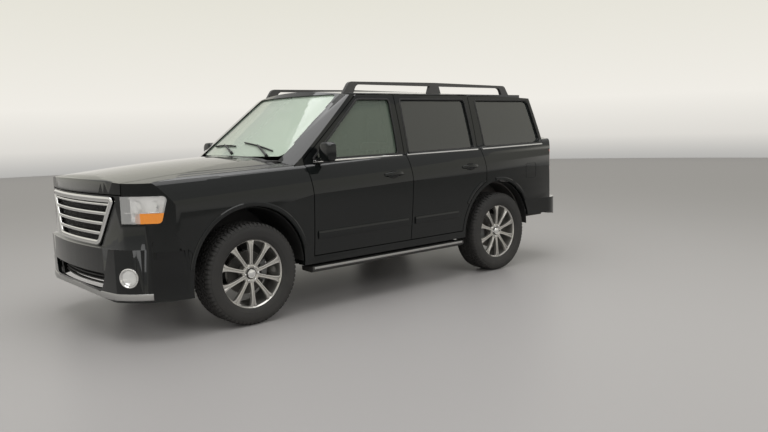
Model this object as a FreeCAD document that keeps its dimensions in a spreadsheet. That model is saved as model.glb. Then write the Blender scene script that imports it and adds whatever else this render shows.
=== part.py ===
import FreeCAD, Part
import math
import os
import Sketcher

Vector = FreeCAD.Vector

# Driving dimensions in millimetres and degrees: name, value, what it measures
SIZES = [
    ("overall_length", 5130, "bumper to bumper"),
    ("body_width", 2006, "across the character lines, without mirrors"),
    ("wheelbase", 2946, "front axle to rear axle"),
    ("front_overhang", 1035, "front bumper to front axle"),
    ("track_width", 1730, "between the wheel centres of one axle"),
    ("tyre_radius", 405, "tread to wheel centre"),
    ("tyre_width", 275, "sidewall to sidewall"),
    ("rim_radius", 288, "wheel centre to the rim's lip"),
    ("arch_radius", 497, "wheel arch opening"),
    ("arch_rise", 36, "arch centre above the wheel centre"),
    ("roof_height", 1880, "ground to the roof's crown"),
    ("roof_half_width", 772, "centre plane to the roof's edge"),
    ("belt_inset", 76, "glass base inside the body's widest line"),
    ("sill_height", 400, "ground to the rocker's underside"),
    ("door_bottom", 472, "ground to the doors' lower edge"),
    ("floor_height", 492, "ground to the floor's underside"),
    ("floor_thickness", 24, "floor pan"),
    ("wall_thickness", 90, "doors and quarter panels below the belt"),
    ("frame_thickness", 46, "window frames and pillars"),
    ("skin_thickness", 26, "fenders, hood, roof and bumper covers"),
    ("glass_thickness", 6, "all glazing"),
    ("glass_depth", 14, "glass behind the outer skin"),
    ("panel_gap", 8, "between panels that move"),
    ("seat_gap", 0.3, "between pieces that seat on each other"),
    ("front_door_y", 600, "front axle to the front door's leading edge"),
    ("pillar_y", 1099, "front door's leading edge to the parting line between the doors"),
    ("rear_door_y", 201, "rear door's trailing edge to the rear axle"),
    ("hood_rear_y", 315, "front axle to the hood's trailing edge"),
    ("hood_half_width", 775, "hood's side edge at the cowl"),
    ("tailgate_half_width", 785, "tailgate's side edge"),
    ("tailgate_bottom", 700, "ground to the tailgate's lower edge"),
    ("roof_rear_y", 435, "roof's trailing edge to the rear bumper's face"),
    ("roof_front_y", 763, "hood's trailing edge to the windshield's upper edge at the centre"),
    ("windshield_radius", 3200, "plan curve of the windshield"),
    ("rear_glass_radius", 3600, "plan curve of the tail"),
    ("rim_back", 86, "wheel's middle plane to the back of the rim's face"),
    ("kingpin_x", 787, "centre plane to the steering axis"),
    ("arm_spread", 246, "lower to upper suspension arm"),
    ("arm_overhang", 26, "arm ends beyond the steering axis"),
    ("arm_thickness", 30, "suspension arm"),
    ("rail_inset", 132, "roof rail inside the roof's edge"),
    ("roof_rail_width", 34, "roof rail"),
    ("mirror_reach", 95, "door mirror outside the body's widest line"),
    ("mirror_length", 168, "door mirror's housing across the car"),
    ("rail_outer", 468, "centre plane to a frame rail's outer face"),
    ("rail_width", 76, "frame rail"),
    ("rail_z", 374, "ground to the frame rails between the axles"),
    ("rail_front_z", 480, "ground to the frame rails at the nose"),
    ("rail_rear_z", 500, "ground to the frame rails over the rear axle"),
    ("hitch_z", 448, "ground to the hitch receiver's centre"),
    ("hitch_opening", 51.6, "hitch receiver's square socket"),
    ("hitch_wall", 6.4, "hitch receiver's tube wall"),
    ("hitch_pin_radius", 8, "hitch pin hole"),
]

doc = FreeCAD.newDocument("sport_utility")
sheet = doc.addObject("Spreadsheet::Sheet", "Sizes")
for row_number, (alias, value, meaning) in enumerate(SIZES, start=1):
    sheet.set("A%d" % row_number, alias)
    sheet.set("B%d" % row_number, str(value))
    sheet.set("C%d" % row_number, meaning)
    sheet.setAlias("B%d" % row_number, alias)
doc.recompute()


def size(alias):
    """A driving dimension, read back from the sheet"""
    return float(sheet.get(alias))


half_length = size("overall_length") / 2
half_width = size("body_width") / 2
front_axle_y = size("front_overhang") - half_length
rear_axle_y = front_axle_y + size("wheelbase")
wheel_x = size("track_width") / 2
wheel_z = size("tyre_radius")
gap = size("panel_gap")
seam = size("seat_gap")
wall = size("wall_thickness")
frame = size("frame_thickness")
skin = size("skin_thickness")
roof_top = size("roof_height")
roof_half = size("roof_half_width")
front_door_y = front_axle_y + size("front_door_y")
pillar_y = front_door_y + size("pillar_y")
rear_door_y = rear_axle_y - size("rear_door_y")
hood_rear_y = front_axle_y + size("hood_rear_y")
roof_rear_y = half_length - size("roof_rear_y")
roof_front_y = hood_rear_y + size("roof_front_y")
hood_half = size("hood_half_width")
tailgate_half = size("tailgate_half_width")
FAR = 1.2 * half_length


# Drawing helpers
def on_plane(plane, level, across, along):
    """A point of a drawing on a plane that is level away from the origin"""
    if plane == "yz":
        return Vector(level, across, along)
    if plane == "xz":
        return Vector(across, level, along)
    return Vector(across, along, level)


def outline(plane, level, corners):
    """Face inside straight runs whose corners are rounded: rows of across, along, radius"""
    path = []
    count = len(corners)
    for index, (across, along, radius) in enumerate(corners):
        here = Vector(across, along, 0)
        if radius == 0:
            path.append((here,))
            continue
        before = Vector(corners[index - 1][0], corners[index - 1][1], 0) - here
        after_row = corners[(index + 1) % count]
        after = Vector(after_row[0], after_row[1], 0) - here
        before.normalize()
        after.normalize()
        half_turn = before.getAngle(after) / 2
        reach = radius / math.tan(half_turn)
        middle = before + after
        middle.normalize()
        depth = radius / math.sin(half_turn) - radius
        path.append((here + before * reach, here + middle * depth, here + after * reach))
    edges = []
    last = path[-1][-1]
    for step in path:
        edges.append(Part.makeLine(on_plane(plane, level, last.x, last.y),
                                   on_plane(plane, level, step[0].x, step[0].y)))
        if len(step) == 3:
            bend = [on_plane(plane, level, point.x, point.y) for point in step]
            edges.append(Part.Arc(*bend).toShape())
        last = step[-1]
    return Part.Face(Part.Wire(edges))


def prism(plane, start, end, corners, grow=0):
    """Solid of a rounded outline between two levels, grown or shrunk all round"""
    face = outline(plane, start, corners)
    if grow != 0:
        face = face.makeOffset2D(grow, 2)
    reach = on_plane(plane, end - start, 0, 0)
    return face.extrude(reach)


def block(x_from, x_to, y_from, y_to, z_from, z_to):
    """Plain box between two corners"""
    return Part.makeBox(x_to - x_from, y_to - y_from, z_to - z_from, Vector(x_from, y_from, z_from))


def mirrored(shape):
    """The same shape on the other side of the car"""
    return shape.mirror(Vector(0, 0, 0), Vector(1, 0, 0))


def pair(shape):
    """Left and right copies as one shape of two solids"""
    return Part.makeCompound([shape, mirrored(shape)])


# Outer form of the body
NOSE_Y = -half_length + 45
TAIL_Y = half_length - 115
SIDE_RISE = 1.9
FRONT_CORNER = 560


def arc_edge(points):
    """Arc through three points"""
    return Part.Arc(*points).toShape()


def side_run(profile, depth):
    """Straight run along the car under a side profile given as x, z rows, with a foot of some depth"""
    points = [Vector(x, -FAR, z) for x, z in profile]
    edges = [arc_edge(points[index:index + 3]) for index in range(0, len(points) - 2, 2)]
    foot = points[0] - Vector(0, 0, depth)
    top = points[-1] + Vector(-1400, 0, 280)
    left_x = -half_width - 300 - depth
    corners = [points[-1], top, top + Vector(0, 0, depth), Vector(left_x, -FAR, top.z + depth),
               Vector(left_x, -FAR, foot.z), foot, points[0]]
    edges += [Part.makeLine(start, end) for start, end in zip(corners, corners[1:])]
    return Part.Face(Part.Wire(edges)).extrude(Vector(0, 2 * FAR, 0))


def both_sides(profile, rise):
    """Solid between a side profile and its mirror image, rising towards the tail"""
    shape = side_run(profile, 10).common(mirrored(side_run(profile, 20)))
    shape.rotate(Vector(0, 0, 0), Vector(1, 0, 0), rise)
    return shape


def crowned(top_z, peak_y, radius, cross_radius, y_from, y_to):
    """Solid under a crowned surface: an arc across the car, swung along it"""
    wide = half_width + 150
    drop = wide * wide / (2 * cross_radius)
    foot = size("sill_height")
    face = Part.Face(Part.Wire([
        arc_edge([Vector(-wide, peak_y, top_z - drop), Vector(0, peak_y, top_z),
                  Vector(wide, peak_y, top_z - drop)]),
        Part.makeLine(Vector(wide, peak_y, top_z - drop), Vector(wide, peak_y, foot)),
        Part.makeLine(Vector(wide, peak_y, foot), Vector(-wide, peak_y, foot)),
        Part.makeLine(Vector(-wide, peak_y, foot), Vector(-wide, peak_y, top_z - drop)),
    ]))
    centre = Vector(0, peak_y, top_z - radius)
    start = math.degrees((peak_y - y_from) / radius)
    whole = math.degrees((y_to - y_from) / radius)
    face.rotate(centre, Vector(1, 0, 0), start)
    return face.revolve(centre, Vector(-1, 0, 0), whole)


def tub(inset, drop):
    """Lower body between sill and belt, set in by a wall and lowered by a skin"""
    wide = half_width - inset
    low = size("sill_height") - 150 - inset
    line_z = 1013
    belt_z = 1222 - drop
    return both_sides([
        (wide - 45, low), (wide - 14, (low + line_z) / 2), (wide, line_z),
        (wide - 24, (line_z + belt_z) / 2 + 8), (wide - 66, belt_z),
        (wide - 90, belt_z + 27), (wide - 150, belt_z + 42)], SIDE_RISE)


def leaning_cylinder(foot, top, radius, inset, faces_forward):
    """Curved screen surface: a big cylinder whose near side passes through foot and top"""
    run = top[0] - foot[0]
    rise = top[1] - foot[1]
    length = math.hypot(run, rise)
    slope = Vector(0, run / length, rise / length)
    inward = Vector(0, slope.z, -slope.y) if faces_forward else Vector(0, -slope.z, slope.y)
    start = Vector(0, foot[0], foot[1]) + inward * radius - slope * FAR
    return Part.makeCylinder(radius - inset, 3 * FAR, start, slope)


SCREEN_FOOT = (hood_rear_y + 30, 1283)
SCREEN_TOP = (roof_front_y, roof_top - 30)
TAIL_FOOT = (TAIL_Y - 22, 1235)
TAIL_TOP = (TAIL_Y - 178, roof_top - 50)
ROOF_PEAK_Y = pillar_y + 431
HOOD_PEAK_Y = hood_rear_y + 615


def greenhouse_side(inset):
    """Foot, middle and top of the upper body's side as x, z"""
    foot = (half_width - size("belt_inset") - inset, 1100 - inset)
    top = (roof_half - inset, roof_top - 78 - inset)
    return [foot, ((foot[0] + top[0]) / 2 + 10, (foot[1] + top[1]) / 2), top]


def greenhouse(inset):
    """Upper body from below the belt to the roof, set in by a frame"""
    side = greenhouse_side(inset)
    edge, edge_z = side[-1]
    shape = both_sides(side + [(edge - 16, edge_z + 34), (edge - 62, edge_z + 52)], 0)
    shape = shape.common(crowned(roof_top - inset, ROOF_PEAK_Y, 40000, 5200, -FAR, FAR))
    screen = leaning_cylinder(SCREEN_FOOT, SCREEN_TOP, size("windshield_radius"), inset, True)
    tail = leaning_cylinder(TAIL_FOOT, TAIL_TOP, size("rear_glass_radius"), inset, False)
    return shape.common(screen).common(tail)


def plan_form(nose_y, tail_y, half, inset, z_from, z_to):
    """Body seen from above: bowed ends with rounded corners, set in by a wall"""
    wide = half - inset
    front_radius = FRONT_CORNER - inset
    rear_radius = 300 - inset
    corners = [(-wide, nose_y + inset, front_radius), (wide, nose_y + inset, front_radius),
               (wide, tail_y - inset, rear_radius), (-wide, tail_y - inset, rear_radius)]
    shape = prism("xy", z_from, z_to, corners)
    bow = 3600
    tall = z_to - z_from
    nose = Part.makeCylinder(bow - inset, tall, Vector(0, nose_y + bow, z_from))
    tail = Part.makeCylinder(2 * bow - inset, tall, Vector(0, tail_y - 2 * bow, z_from))
    return shape.common(nose).common(tail)


def nose_profile(inset):
    """Side view limit that rounds the hood's leading edge"""
    return prism("yz", -FAR, FAR, [
        (NOSE_Y - 6 + inset, 90, 0), (NOSE_Y - 6 + inset, 1180 - inset, 150 - inset),
        (NOSE_Y + 320, 1262 - inset, 0), (hood_rear_y - 80, 2200, 0), (FAR, 2200, 0), (FAR, 90, 0)])


def hood_cut(drop):
    """What lies above the hood's crowned surface, ahead of the windshield"""
    above = block(-FAR, FAR, -FAR, hood_rear_y + 65, 1000, 2300)
    return above.cut(crowned(1312 - drop, HOOD_PEAK_Y, 16000, 7600, -FAR, HOOD_PEAK_Y))


def lower_body(inset, drop=0):
    """Tub trimmed in plan, at the nose and by the hood's crown, all set in by the same wall"""
    shape = tub(inset, drop)
    shape = shape.common(plan_form(NOSE_Y, TAIL_Y, half_width + 20, inset, 100, 1900))
    return shape.common(nose_profile(inset)).cut(hood_cut(drop))


lower_skin = lower_body(0)
lower_core = lower_body(skin, skin)
lower_wall = lower_body(wall, wall / 2)
upper_skin = greenhouse(0)
upper_core = greenhouse(frame)
cabin_shell = lower_skin.fuse(upper_skin).cut(lower_wall.fuse(upper_core))
front_shell = lower_skin.cut(lower_core)

SKEW = math.tan(math.radians(12))
WAIST_Z = 1400
BELT_Z = 1225
REACH_X = half_width + 60
arch_radius = size("arch_radius")
arch_z = wheel_z + size("arch_rise")
DOOR_TOP = roof_top - 68
DOOR_INNER_X = roof_half - 84
CABIN_FRONT = front_door_y - 110


def screen_y(z):
    """Windshield's surface at the centre, at a height"""
    share = (z - SCREEN_FOOT[1]) / (SCREEN_TOP[1] - SCREEN_FOOT[1])
    return SCREEN_FOOT[0] + share * (SCREEN_TOP[0] - SCREEN_FOOT[0])


def side_prism(corners, grow=0, skewed=True):
    """Cut through the left side; its sides lean so that an opening door's edge swings free"""
    shifted = []
    for y, z, radius in corners:
        at_x = half_width if z < WAIST_Z else roof_half
        shifted.append((y + (REACH_X - at_x) * SKEW if skewed else y, z, radius))
    face = outline("yz", REACH_X, shifted)
    if grow != 0:
        face = face.makeOffset2D(grow, 2)
    depth = REACH_X - DOOR_INNER_X
    return face.extrude(Vector(-depth, -depth * SKEW if skewed else 0, 0))


def arch_cylinder(axle_y, extra):
    """Wheel arch opening on the left side"""
    return Part.makeCylinder(arch_radius + extra, 700, Vector(REACH_X - 700, axle_y, arch_z), Vector(1, 0, 0))


FRONT_DOOR = [(front_door_y, size("door_bottom"), 0), (pillar_y, size("door_bottom"), 0),
              (pillar_y, DOOR_TOP, 0), (screen_y(DOOR_TOP) + 227, DOOR_TOP, 0), (front_door_y, 1262, 0)]
REAR_DOOR = [(pillar_y + gap, size("door_bottom"), 0), (rear_door_y, size("door_bottom"), 0),
             (rear_door_y, 1260, 0), (rear_door_y - 26, DOOR_TOP, 0), (pillar_y + gap, DOOR_TOP, 0)]
FRONT_WINDOW = [(front_door_y + 72, 1270, 30), (pillar_y - 68, 1278, 22),
                (pillar_y - 68, DOOR_TOP - 48, 22), (screen_y(DOOR_TOP) + 230, DOOR_TOP - 48, 45)]
REAR_WINDOW = [(pillar_y + gap + 68, 1280, 22), (rear_door_y - 72, 1292, 30),
               (rear_door_y - 96, DOOR_TOP - 48, 30), (pillar_y + gap + 68, DOOR_TOP - 48, 22)]
QUARTER_WINDOW = [(rear_door_y + 104, 1298, 40), (TAIL_Y - 208, 1312, 60),
                  (TAIL_Y - 300, DOOR_TOP - 54, 60), (rear_door_y + 76, DOOR_TOP - 52, 40)]

hinge_x = half_width - 16
screen_glass = greenhouse(size("glass_depth")).cut(greenhouse(size("glass_depth") + size("glass_thickness")))
hood_edge = [(-hood_half + 40, -FAR, 0), (hood_half - 40, -FAR, 0),
             (hood_half, hood_rear_y, 0), (-hood_half, hood_rear_y, 0)]
GLASS_TOP_HALF = roof_half - 132
SCREEN_HALF = half_width - 297
SCREEN_OPENING = [(-SCREEN_HALF, SCREEN_FOOT[1] + 12, 60), (SCREEN_HALF, SCREEN_FOOT[1] + 12, 60),
                  (GLASS_TOP_HALF, SCREEN_TOP[1] - 26, 60), (-GLASS_TOP_HALF, SCREEN_TOP[1] - 26, 60)]
TAIL_GLASS_HALF = tailgate_half - 95
TAIL_GLASS_TOP = roof_top - 110
TAIL_OPENING = [(-TAIL_GLASS_HALF, 1290, 70), (TAIL_GLASS_HALF, 1290, 70),
                (GLASS_TOP_HALF, TAIL_GLASS_TOP, 70), (-GLASS_TOP_HALF, TAIL_GLASS_TOP, 70)]
TAILGATE_TOP_HALF = roof_half - 72
PILLAR_BAND = 60
SWING_ROOM = 24
SWING_LENGTH = 76


def screen_prism(grow):
    """Windshield outline cut along the car"""
    return prism("xz", -FAR, roof_front_y + 272, SCREEN_OPENING, grow)


def tail_prism(grow):
    """Tailgate glass outline cut along the car"""
    return prism("xz", TAIL_Y - 320, FAR, TAIL_OPENING, grow)


def tailgate_zone(grow):
    """Everything behind the plane where the tailgate parts from the body"""
    low = size("tailgate_bottom") - grow
    side = prism("yz", -FAR, FAR, [
        (TAIL_Y - 110 - grow, low, 0), (TAIL_Y - 110 - grow, BELT_Z, 0),
        (roof_rear_y - grow, roof_top - 180, 0), (roof_rear_y - grow, FAR, 0), (FAR, FAR, 0), (FAR, low, 0)])
    half, top_half = tailgate_half + grow, TAILGATE_TOP_HALF + grow
    return side.common(prism("xz", 0, 2 * FAR, [
        (-half, low, 0), (half, low, 0), (half, BELT_Z, 0), (top_half, roof_top - 60, 0), (top_half, FAR, 0),
        (-top_half, FAR, 0), (-top_half, roof_top - 60, 0), (-half, BELT_Z, 0)]))


# Doors
def door_panel(corners, window, extra_arch):
    """Left door: the whole wall inside its outline, window cut, clear of the wheel arch"""
    panel = cabin_shell.common(side_prism(corners)).cut(screen_prism(PILLAR_BAND))
    panel = panel.cut(side_prism(window, skewed=False))
    panel = panel.cut(arch_cylinder(rear_axle_y, extra_arch))
    return panel.removeSplitter()


def side_glass(window):
    """Pane that lies in its frame"""
    return screen_glass.common(side_prism(window, -seam, skewed=False))


ARCH_FLANGE = 44
front_door = door_panel(FRONT_DOOR, FRONT_WINDOW, ARCH_FLANGE)
rear_door = door_panel(REAR_DOOR, REAR_WINDOW, ARCH_FLANGE)
# What lies ahead of the rear door's hinge swings inward
rear_door = rear_door.cut(block(0, DOOR_INNER_X + SWING_ROOM, -FAR, pillar_y + SWING_LENGTH, WAIST_Z, FAR))
front_pane = side_glass(FRONT_WINDOW)
rear_pane = side_glass(REAR_WINDOW)
quarter_pane = side_glass(QUARTER_WINDOW)


# Fixed body panels
HOOD_EDGE_Z = 1088
LAMP_TOP_Z = 1074
LAMP_BOTTOM_Z = 878
COVER_TOP_Z = LAMP_BOTTOM_Z - 4
BUMPER_TOP_Z = 690
BUMPER_LOW_Z = 305
REAR_BUMPER_TOP_Z = size("tailgate_bottom") - gap
arch_front_end = front_axle_y - arch_radius
LAMP_INNER_X = half_width - 265
ROOF_SEAM_X = roof_half - 104
PILLAR_INNER_X = half_width - 295
COWL_REAR_Y = hood_rear_y + 64
BUMPER_FOOT = 380


def hood_zone(grow):
    """Hood outline from above, growing for the gap round it"""
    return prism("xy", HOOD_EDGE_Z - grow, 1700, hood_edge, grow)


def lamp_zone(grow):
    """Left headlamp's outline: a side view limit and the face beside the grille"""
    side = prism("yz", LAMP_INNER_X - grow, FAR, [
        (-FAR, LAMP_BOTTOM_Z, 0), (NOSE_Y + 285, LAMP_BOTTOM_Z, 30),
        (NOSE_Y + 330, LAMP_TOP_Z, 30), (-FAR, LAMP_TOP_Z, 0)], grow)
    return side


def cover_zone(grow):
    """Side view of the front cover where it parts from the fender"""
    return prism("yz", -FAR, FAR, [
        (-FAR, 100, 0), (arch_front_end - 8, 100, 0), (arch_front_end - 8, 640, 20),
        (NOSE_Y + 300, COVER_TOP_Z, 30), (-FAR, COVER_TOP_Z, 0)], grow)


GRILLE_HALF = half_width - 303
GRILLE_FOOT_HALF = half_width - 551
GRILLE_OPENING = [(-GRILLE_HALF, HOOD_EDGE_Z - 16, 26), (-GRILLE_FOOT_HALF, 694, 30),
                  (GRILLE_FOOT_HALF, 694, 30), (GRILLE_HALF, HOOD_EDGE_Z - 16, 26)]
INTAKE_HALF = half_width - 443


def grille_prism(grow):
    """Grille outline cut into the nose"""
    return prism("xz", -FAR, NOSE_Y + 300, GRILLE_OPENING, grow)


def bumper_band(nose_y, tail_y, z_from, z_to, inset):
    """Upright band round one end of the car"""
    return plan_form(nose_y, tail_y, half_width - 14, inset, z_from, z_to)


FOG_RADIUS = 62
FOG_Z = 488
FOG_TURN = math.radians(40)


def fog_cylinder(radius, start, length):
    """Round bar square to the bumper's left corner, starting some way inside its face"""
    outward = Vector(math.sin(FOG_TURN), -math.cos(FOG_TURN), 0)
    corner = Vector(half_width - 14 - FRONT_CORNER, FRONT_CORNER - half_length, FOG_Z)
    face = corner + outward * FRONT_CORNER
    return Part.makeCylinder(radius, length, face - outward * start, -outward)


def make_front_cover():
    """Front cover with its bumper band, lamp, grille and intake openings"""
    upper = front_shell.common(cover_zone(0))
    strip = front_shell.common(block(4 - LAMP_INNER_X, LAMP_INNER_X - 4, -FAR, NOSE_Y + 120,
                                     COVER_TOP_Z - 1, HOOD_EDGE_Z - gap))
    upper = upper.fuse(strip).cut(block(-FAR, FAR, -FAR, FAR, 0, BUMPER_TOP_Z - 20))
    bumper_nose = -half_length
    outer = bumper_band(bumper_nose, FAR, BUMPER_LOW_Z, BUMPER_TOP_Z, 0)
    inner = bumper_band(bumper_nose, FAR, BUMPER_LOW_Z - 10, BUMPER_TOP_Z - skin, skin)
    band = outer.cut(inner).common(cover_zone(0))
    band = band.cut(lower_core)
    rounded = prism("yz", -FAR, FAR, [
        (bumper_nose - 4, BUMPER_TOP_Z + 1, 0), (bumper_nose - 4, 430, 80),
        (bumper_nose + 60, BUMPER_LOW_Z - 1, 0), (0, BUMPER_LOW_Z - 1, 0), (0, BUMPER_TOP_Z + 1, 0)])
    cover = upper.fuse(band.common(rounded))
    intake = prism("xz", -FAR, NOSE_Y + 200, [
        (-INTAKE_HALF, 505, 20), (60 - INTAKE_HALF, 385, 30),
        (INTAKE_HALF - 60, 385, 30), (INTAKE_HALF, 505, 20)])
    cover = cover.cut(grille_prism(0)).cut(intake)
    cover = cover.cut(pair(fog_cylinder(FOG_RADIUS + seam, -60, 200)))
    return cover.removeSplitter()


def make_fender():
    """Left fender from the headlamp to the front door"""
    shape = front_shell.common(block(0, FAR, -FAR, front_door_y - gap, size("sill_height"), FAR))
    shape = shape.cut(hood_zone(gap)).cut(lamp_zone(seam)).cut(cover_zone(seam))
    shape = shape.cut(block(-1, LAMP_INNER_X, -FAR, NOSE_Y + 600, 0, HOOD_EDGE_Z))
    shape = shape.cut(block(-1, hood_half + gap, hood_rear_y - 2, 0, 0, FAR))
    shape = shape.cut(arch_cylinder(front_axle_y, 0)).cut(side_prism(FRONT_DOOR, gap))
    return shape.cut(greenhouse(-3)).removeSplitter()


POST_FRONT_Y = pillar_y - 108
POST_REAR_Y = pillar_y - 28
post_zone = lower_body(wall + gap, wall / 2 + gap).fuse(greenhouse(frame + gap))


def inner_post(y_from, y_to, z_from, z_to):
    """Upright pressing just inboard of the doors, between two heights"""
    low_x = half_width - wall - gap - 47
    line_x = half_width - wall - gap
    belt_x = half_width - wall - gap - 30
    top_x = roof_half - frame - gap + 4
    depth = 48
    section = [(low_x, size("sill_height") - 1, 0), (line_x, 1000, 0), (belt_x, 1236, 0),
               (top_x, DOOR_TOP + 11, 0), (top_x - depth, DOOR_TOP + 11, 0),
               (belt_x - depth, 1236, 0), (line_x - depth, 1000, 0),
               (low_x - depth, size("sill_height") - 1, 0)]
    post = prism("xz", y_from, y_to, section).common(block(0, FAR, y_from - 1, y_to + 1, z_from, z_to))
    return post.common(post_zone)


def make_side_frame():
    """Left body side: pillars, rocker, roof rail and quarter panel in one pressing"""
    side = cabin_shell.common(block(0, FAR, CABIN_FRONT - 300, FAR, size("sill_height"), FAR))
    side = side.cut(lower_skin.common(block(0, FAR, -FAR, CABIN_FRONT, 0, FAR)))
    ahead = block(0, FAR, -FAR, front_door_y - gap, 0, FAR)
    side = side.cut(front_shell.cut(upper_skin).common(ahead))
    post = inner_post(POST_FRONT_Y, POST_REAR_Y, size("sill_height"), DOOR_TOP + 10)
    rocker = inner_post(CABIN_FRONT, rear_axle_y - arch_radius - 8, size("sill_height"),
                        size("door_bottom") - gap)
    header = block(ROOF_SEAM_X, roof_half - 50, roof_front_y + 122, roof_rear_y - 30,
                   DOOR_TOP - 34, DOOR_TOP + 18)
    side = side.cut(block(-1, ROOF_SEAM_X, -FAR, roof_rear_y, roof_top - 380, FAR))
    side = side.fuse(post).fuse(rocker).fuse(header)
    side = side.cut(block(-1, PILLAR_INNER_X, -FAR, front_door_y + 230, 0, WAIST_Z)).cut(screen_prism(0))
    side = side.cut(side_prism(FRONT_DOOR, gap).cut(screen_prism(PILLAR_BAND - gap)))
    side = side.cut(side_prism(REAR_DOOR, gap).cut(arch_cylinder(rear_axle_y, ARCH_FLANGE - gap)))
    side = side.fuse(post)
    side = side.cut(side_prism(QUARTER_WINDOW, skewed=False)).cut(arch_cylinder(rear_axle_y, 0))
    side = side.cut(tailgate_zone(gap)).cut(tail_lamp_zone(seam))
    side = side.cut(block(-1, FAR, rear_axle_y + BUMPER_FOOT, FAR, 0, REAR_BUMPER_TOP_Z + seam))
    return side.removeSplitter()


def tail_lamp_zone(grow):
    """Left tail lamp's outline on the rear corner"""
    return block(tailgate_half + gap + 6 - grow, FAR, TAIL_Y - 150 - grow, FAR,
                 885 - grow, 1222 + grow)


def make_roof():
    """Roof skin between the side frames, from windshield to tailgate"""
    shape = upper_skin.cut(greenhouse(skin))
    shape = shape.common(block(seam - ROOF_SEAM_X, ROOF_SEAM_X - seam, roof_front_y - 200, roof_rear_y - gap,
                               roof_top - 180, FAR))
    return shape.cut(screen_prism(0)).removeSplitter()


def make_hood():
    """Hood skin with its leading edge folded down over the grille"""
    return front_shell.common(hood_zone(0)).removeSplitter()


def make_tailgate():
    """Tailgate wall with its glass cut out"""
    shape = cabin_shell.common(tailgate_zone(0)).cut(tail_prism(0))
    return shape.removeSplitter()


fender = make_fender()
side_frame = make_side_frame()
roof = make_roof()
hood = make_hood()
tailgate = make_tailgate()
front_cover = make_front_cover()
windshield = screen_glass.common(screen_prism(-seam))
tailgate_pane = screen_glass.common(tail_prism(-seam))
lamp_body = lower_skin.cut(lower_body(90, 60)).common(lamp_zone(0))
marker_zone = block(0, FAR, NOSE_Y + 165, FAR, 0, LAMP_BOTTOM_Z + 74)
marker_lamp = lamp_body.common(marker_zone)
headlamp = lamp_body.cut(marker_zone)
tail_lamp = lower_skin.cut(lower_body(60, 40)).common(tail_lamp_zone(0))


# Front and rear fittings
def make_grille():
    """Grille: bright ring, level bars and the dark web that carries them"""
    reach = NOSE_Y + 70
    zone = plan_form(NOSE_Y - 14, TAIL_Y, half_width + 34, 0, 100, 1900).common(nose_profile(-10))
    back = plan_form(NOSE_Y + 30, TAIL_Y, half_width - 10, 0, 90, 1910)
    outer = prism("xz", -FAR, reach, GRILLE_OPENING, -seam).common(zone).cut(back)
    ring = outer.cut(prism("xz", -FAR, reach, GRILLE_OPENING, -46))
    bars = []
    bar_height = 30
    first_z = 775
    pitch = 76
    for index in range(4):
        z = first_z + index * pitch
        bars.append(block(-FAR, FAR, -FAR, FAR, z, z + bar_height))
    inner_zone = plan_form(NOSE_Y - 4, TAIL_Y, half_width + 24, 0, 100, 1900).cut(back)
    inner = prism("xz", -FAR, reach, GRILLE_OPENING, -40).common(inner_zone)
    web_front = plan_form(NOSE_Y + 18, TAIL_Y, half_width + 2, 0, 80, 1920)
    web = inner.common(web_front)
    grille = ring.fuse(web)
    for bar in bars:
        grille = grille.fuse(inner.common(bar))
    return grille.removeSplitter()


STOP_X = 480


def make_rear_bumper():
    """Rear bumper cover wrapped round both corners, with two stops under the tailgate"""
    tail_y = half_length
    outer = bumper_band(-FAR, tail_y, 480, REAR_BUMPER_TOP_Z, 0)
    inner = bumper_band(-FAR, tail_y, 470, REAR_BUMPER_TOP_Z - skin, skin)
    band = outer.cut(inner)
    band = band.common(block(-FAR, FAR, rear_axle_y + BUMPER_FOOT, FAR, 0, FAR))
    band = band.cut(arch_cylinder(rear_axle_y, 0)).cut(mirrored(arch_cylinder(rear_axle_y, 0)))
    underside = prism("yz", -FAR, FAR, [
        (0, 540, 0), (tail_y - 330, 530, 0), (tail_y - 60, 481, 0), (tail_y + 5, 520, 40),
        (tail_y + 5, 900, 0), (0, 900, 0)])
    band = band.common(underside).cut(lower_body(skin + 8, skin))
    stop = block(STOP_X, STOP_X + 50, TAIL_Y - 34, TAIL_Y - 4,
                 REAR_BUMPER_TOP_Z - 10, size("tailgate_bottom") - seam)
    return band.fuse([stop, mirrored(stop)]).removeSplitter()


def fog_lamp():
    """Left fog lamp: a round housing set into the bumper"""
    return fog_cylinder(FOG_RADIUS, 10, 80)


def make_roof_rails():
    """Two rails, each on three feet"""
    rail_x = roof_half - size("rail_inset")
    rail_half = size("roof_rail_width") / 2
    y_from, y_to = roof_front_y + 110, roof_rear_y - 120
    top = roof_top + 62
    foot_z = roof_top - 100
    rail = prism("yz", rail_x - rail_half, rail_x + rail_half, [
        (y_from - 20, foot_z, 0), (y_from + 90, top - 6, 60), ((y_from + y_to) / 2, top + 2, 900),
        (y_to - 90, top - 12, 60), (y_to + 20, foot_z, 0), (y_to - 110, foot_z, 0),
        (y_to - 170, top - 36, 60), (y_from + 170, top - 30, 60), (y_from + 110, foot_z, 0)])
    middle_y = (y_from + y_to) / 2
    middle = prism("yz", rail_x - rail_half, rail_x + rail_half, [
        (middle_y - 110, foot_z, 0), (middle_y - 60, top - 20, 20),
        (middle_y + 60, top - 20, 20), (middle_y + 110, foot_z, 0)])
    return pair(rail.fuse(middle).cut(greenhouse(-seam)).removeSplitter())


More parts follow.
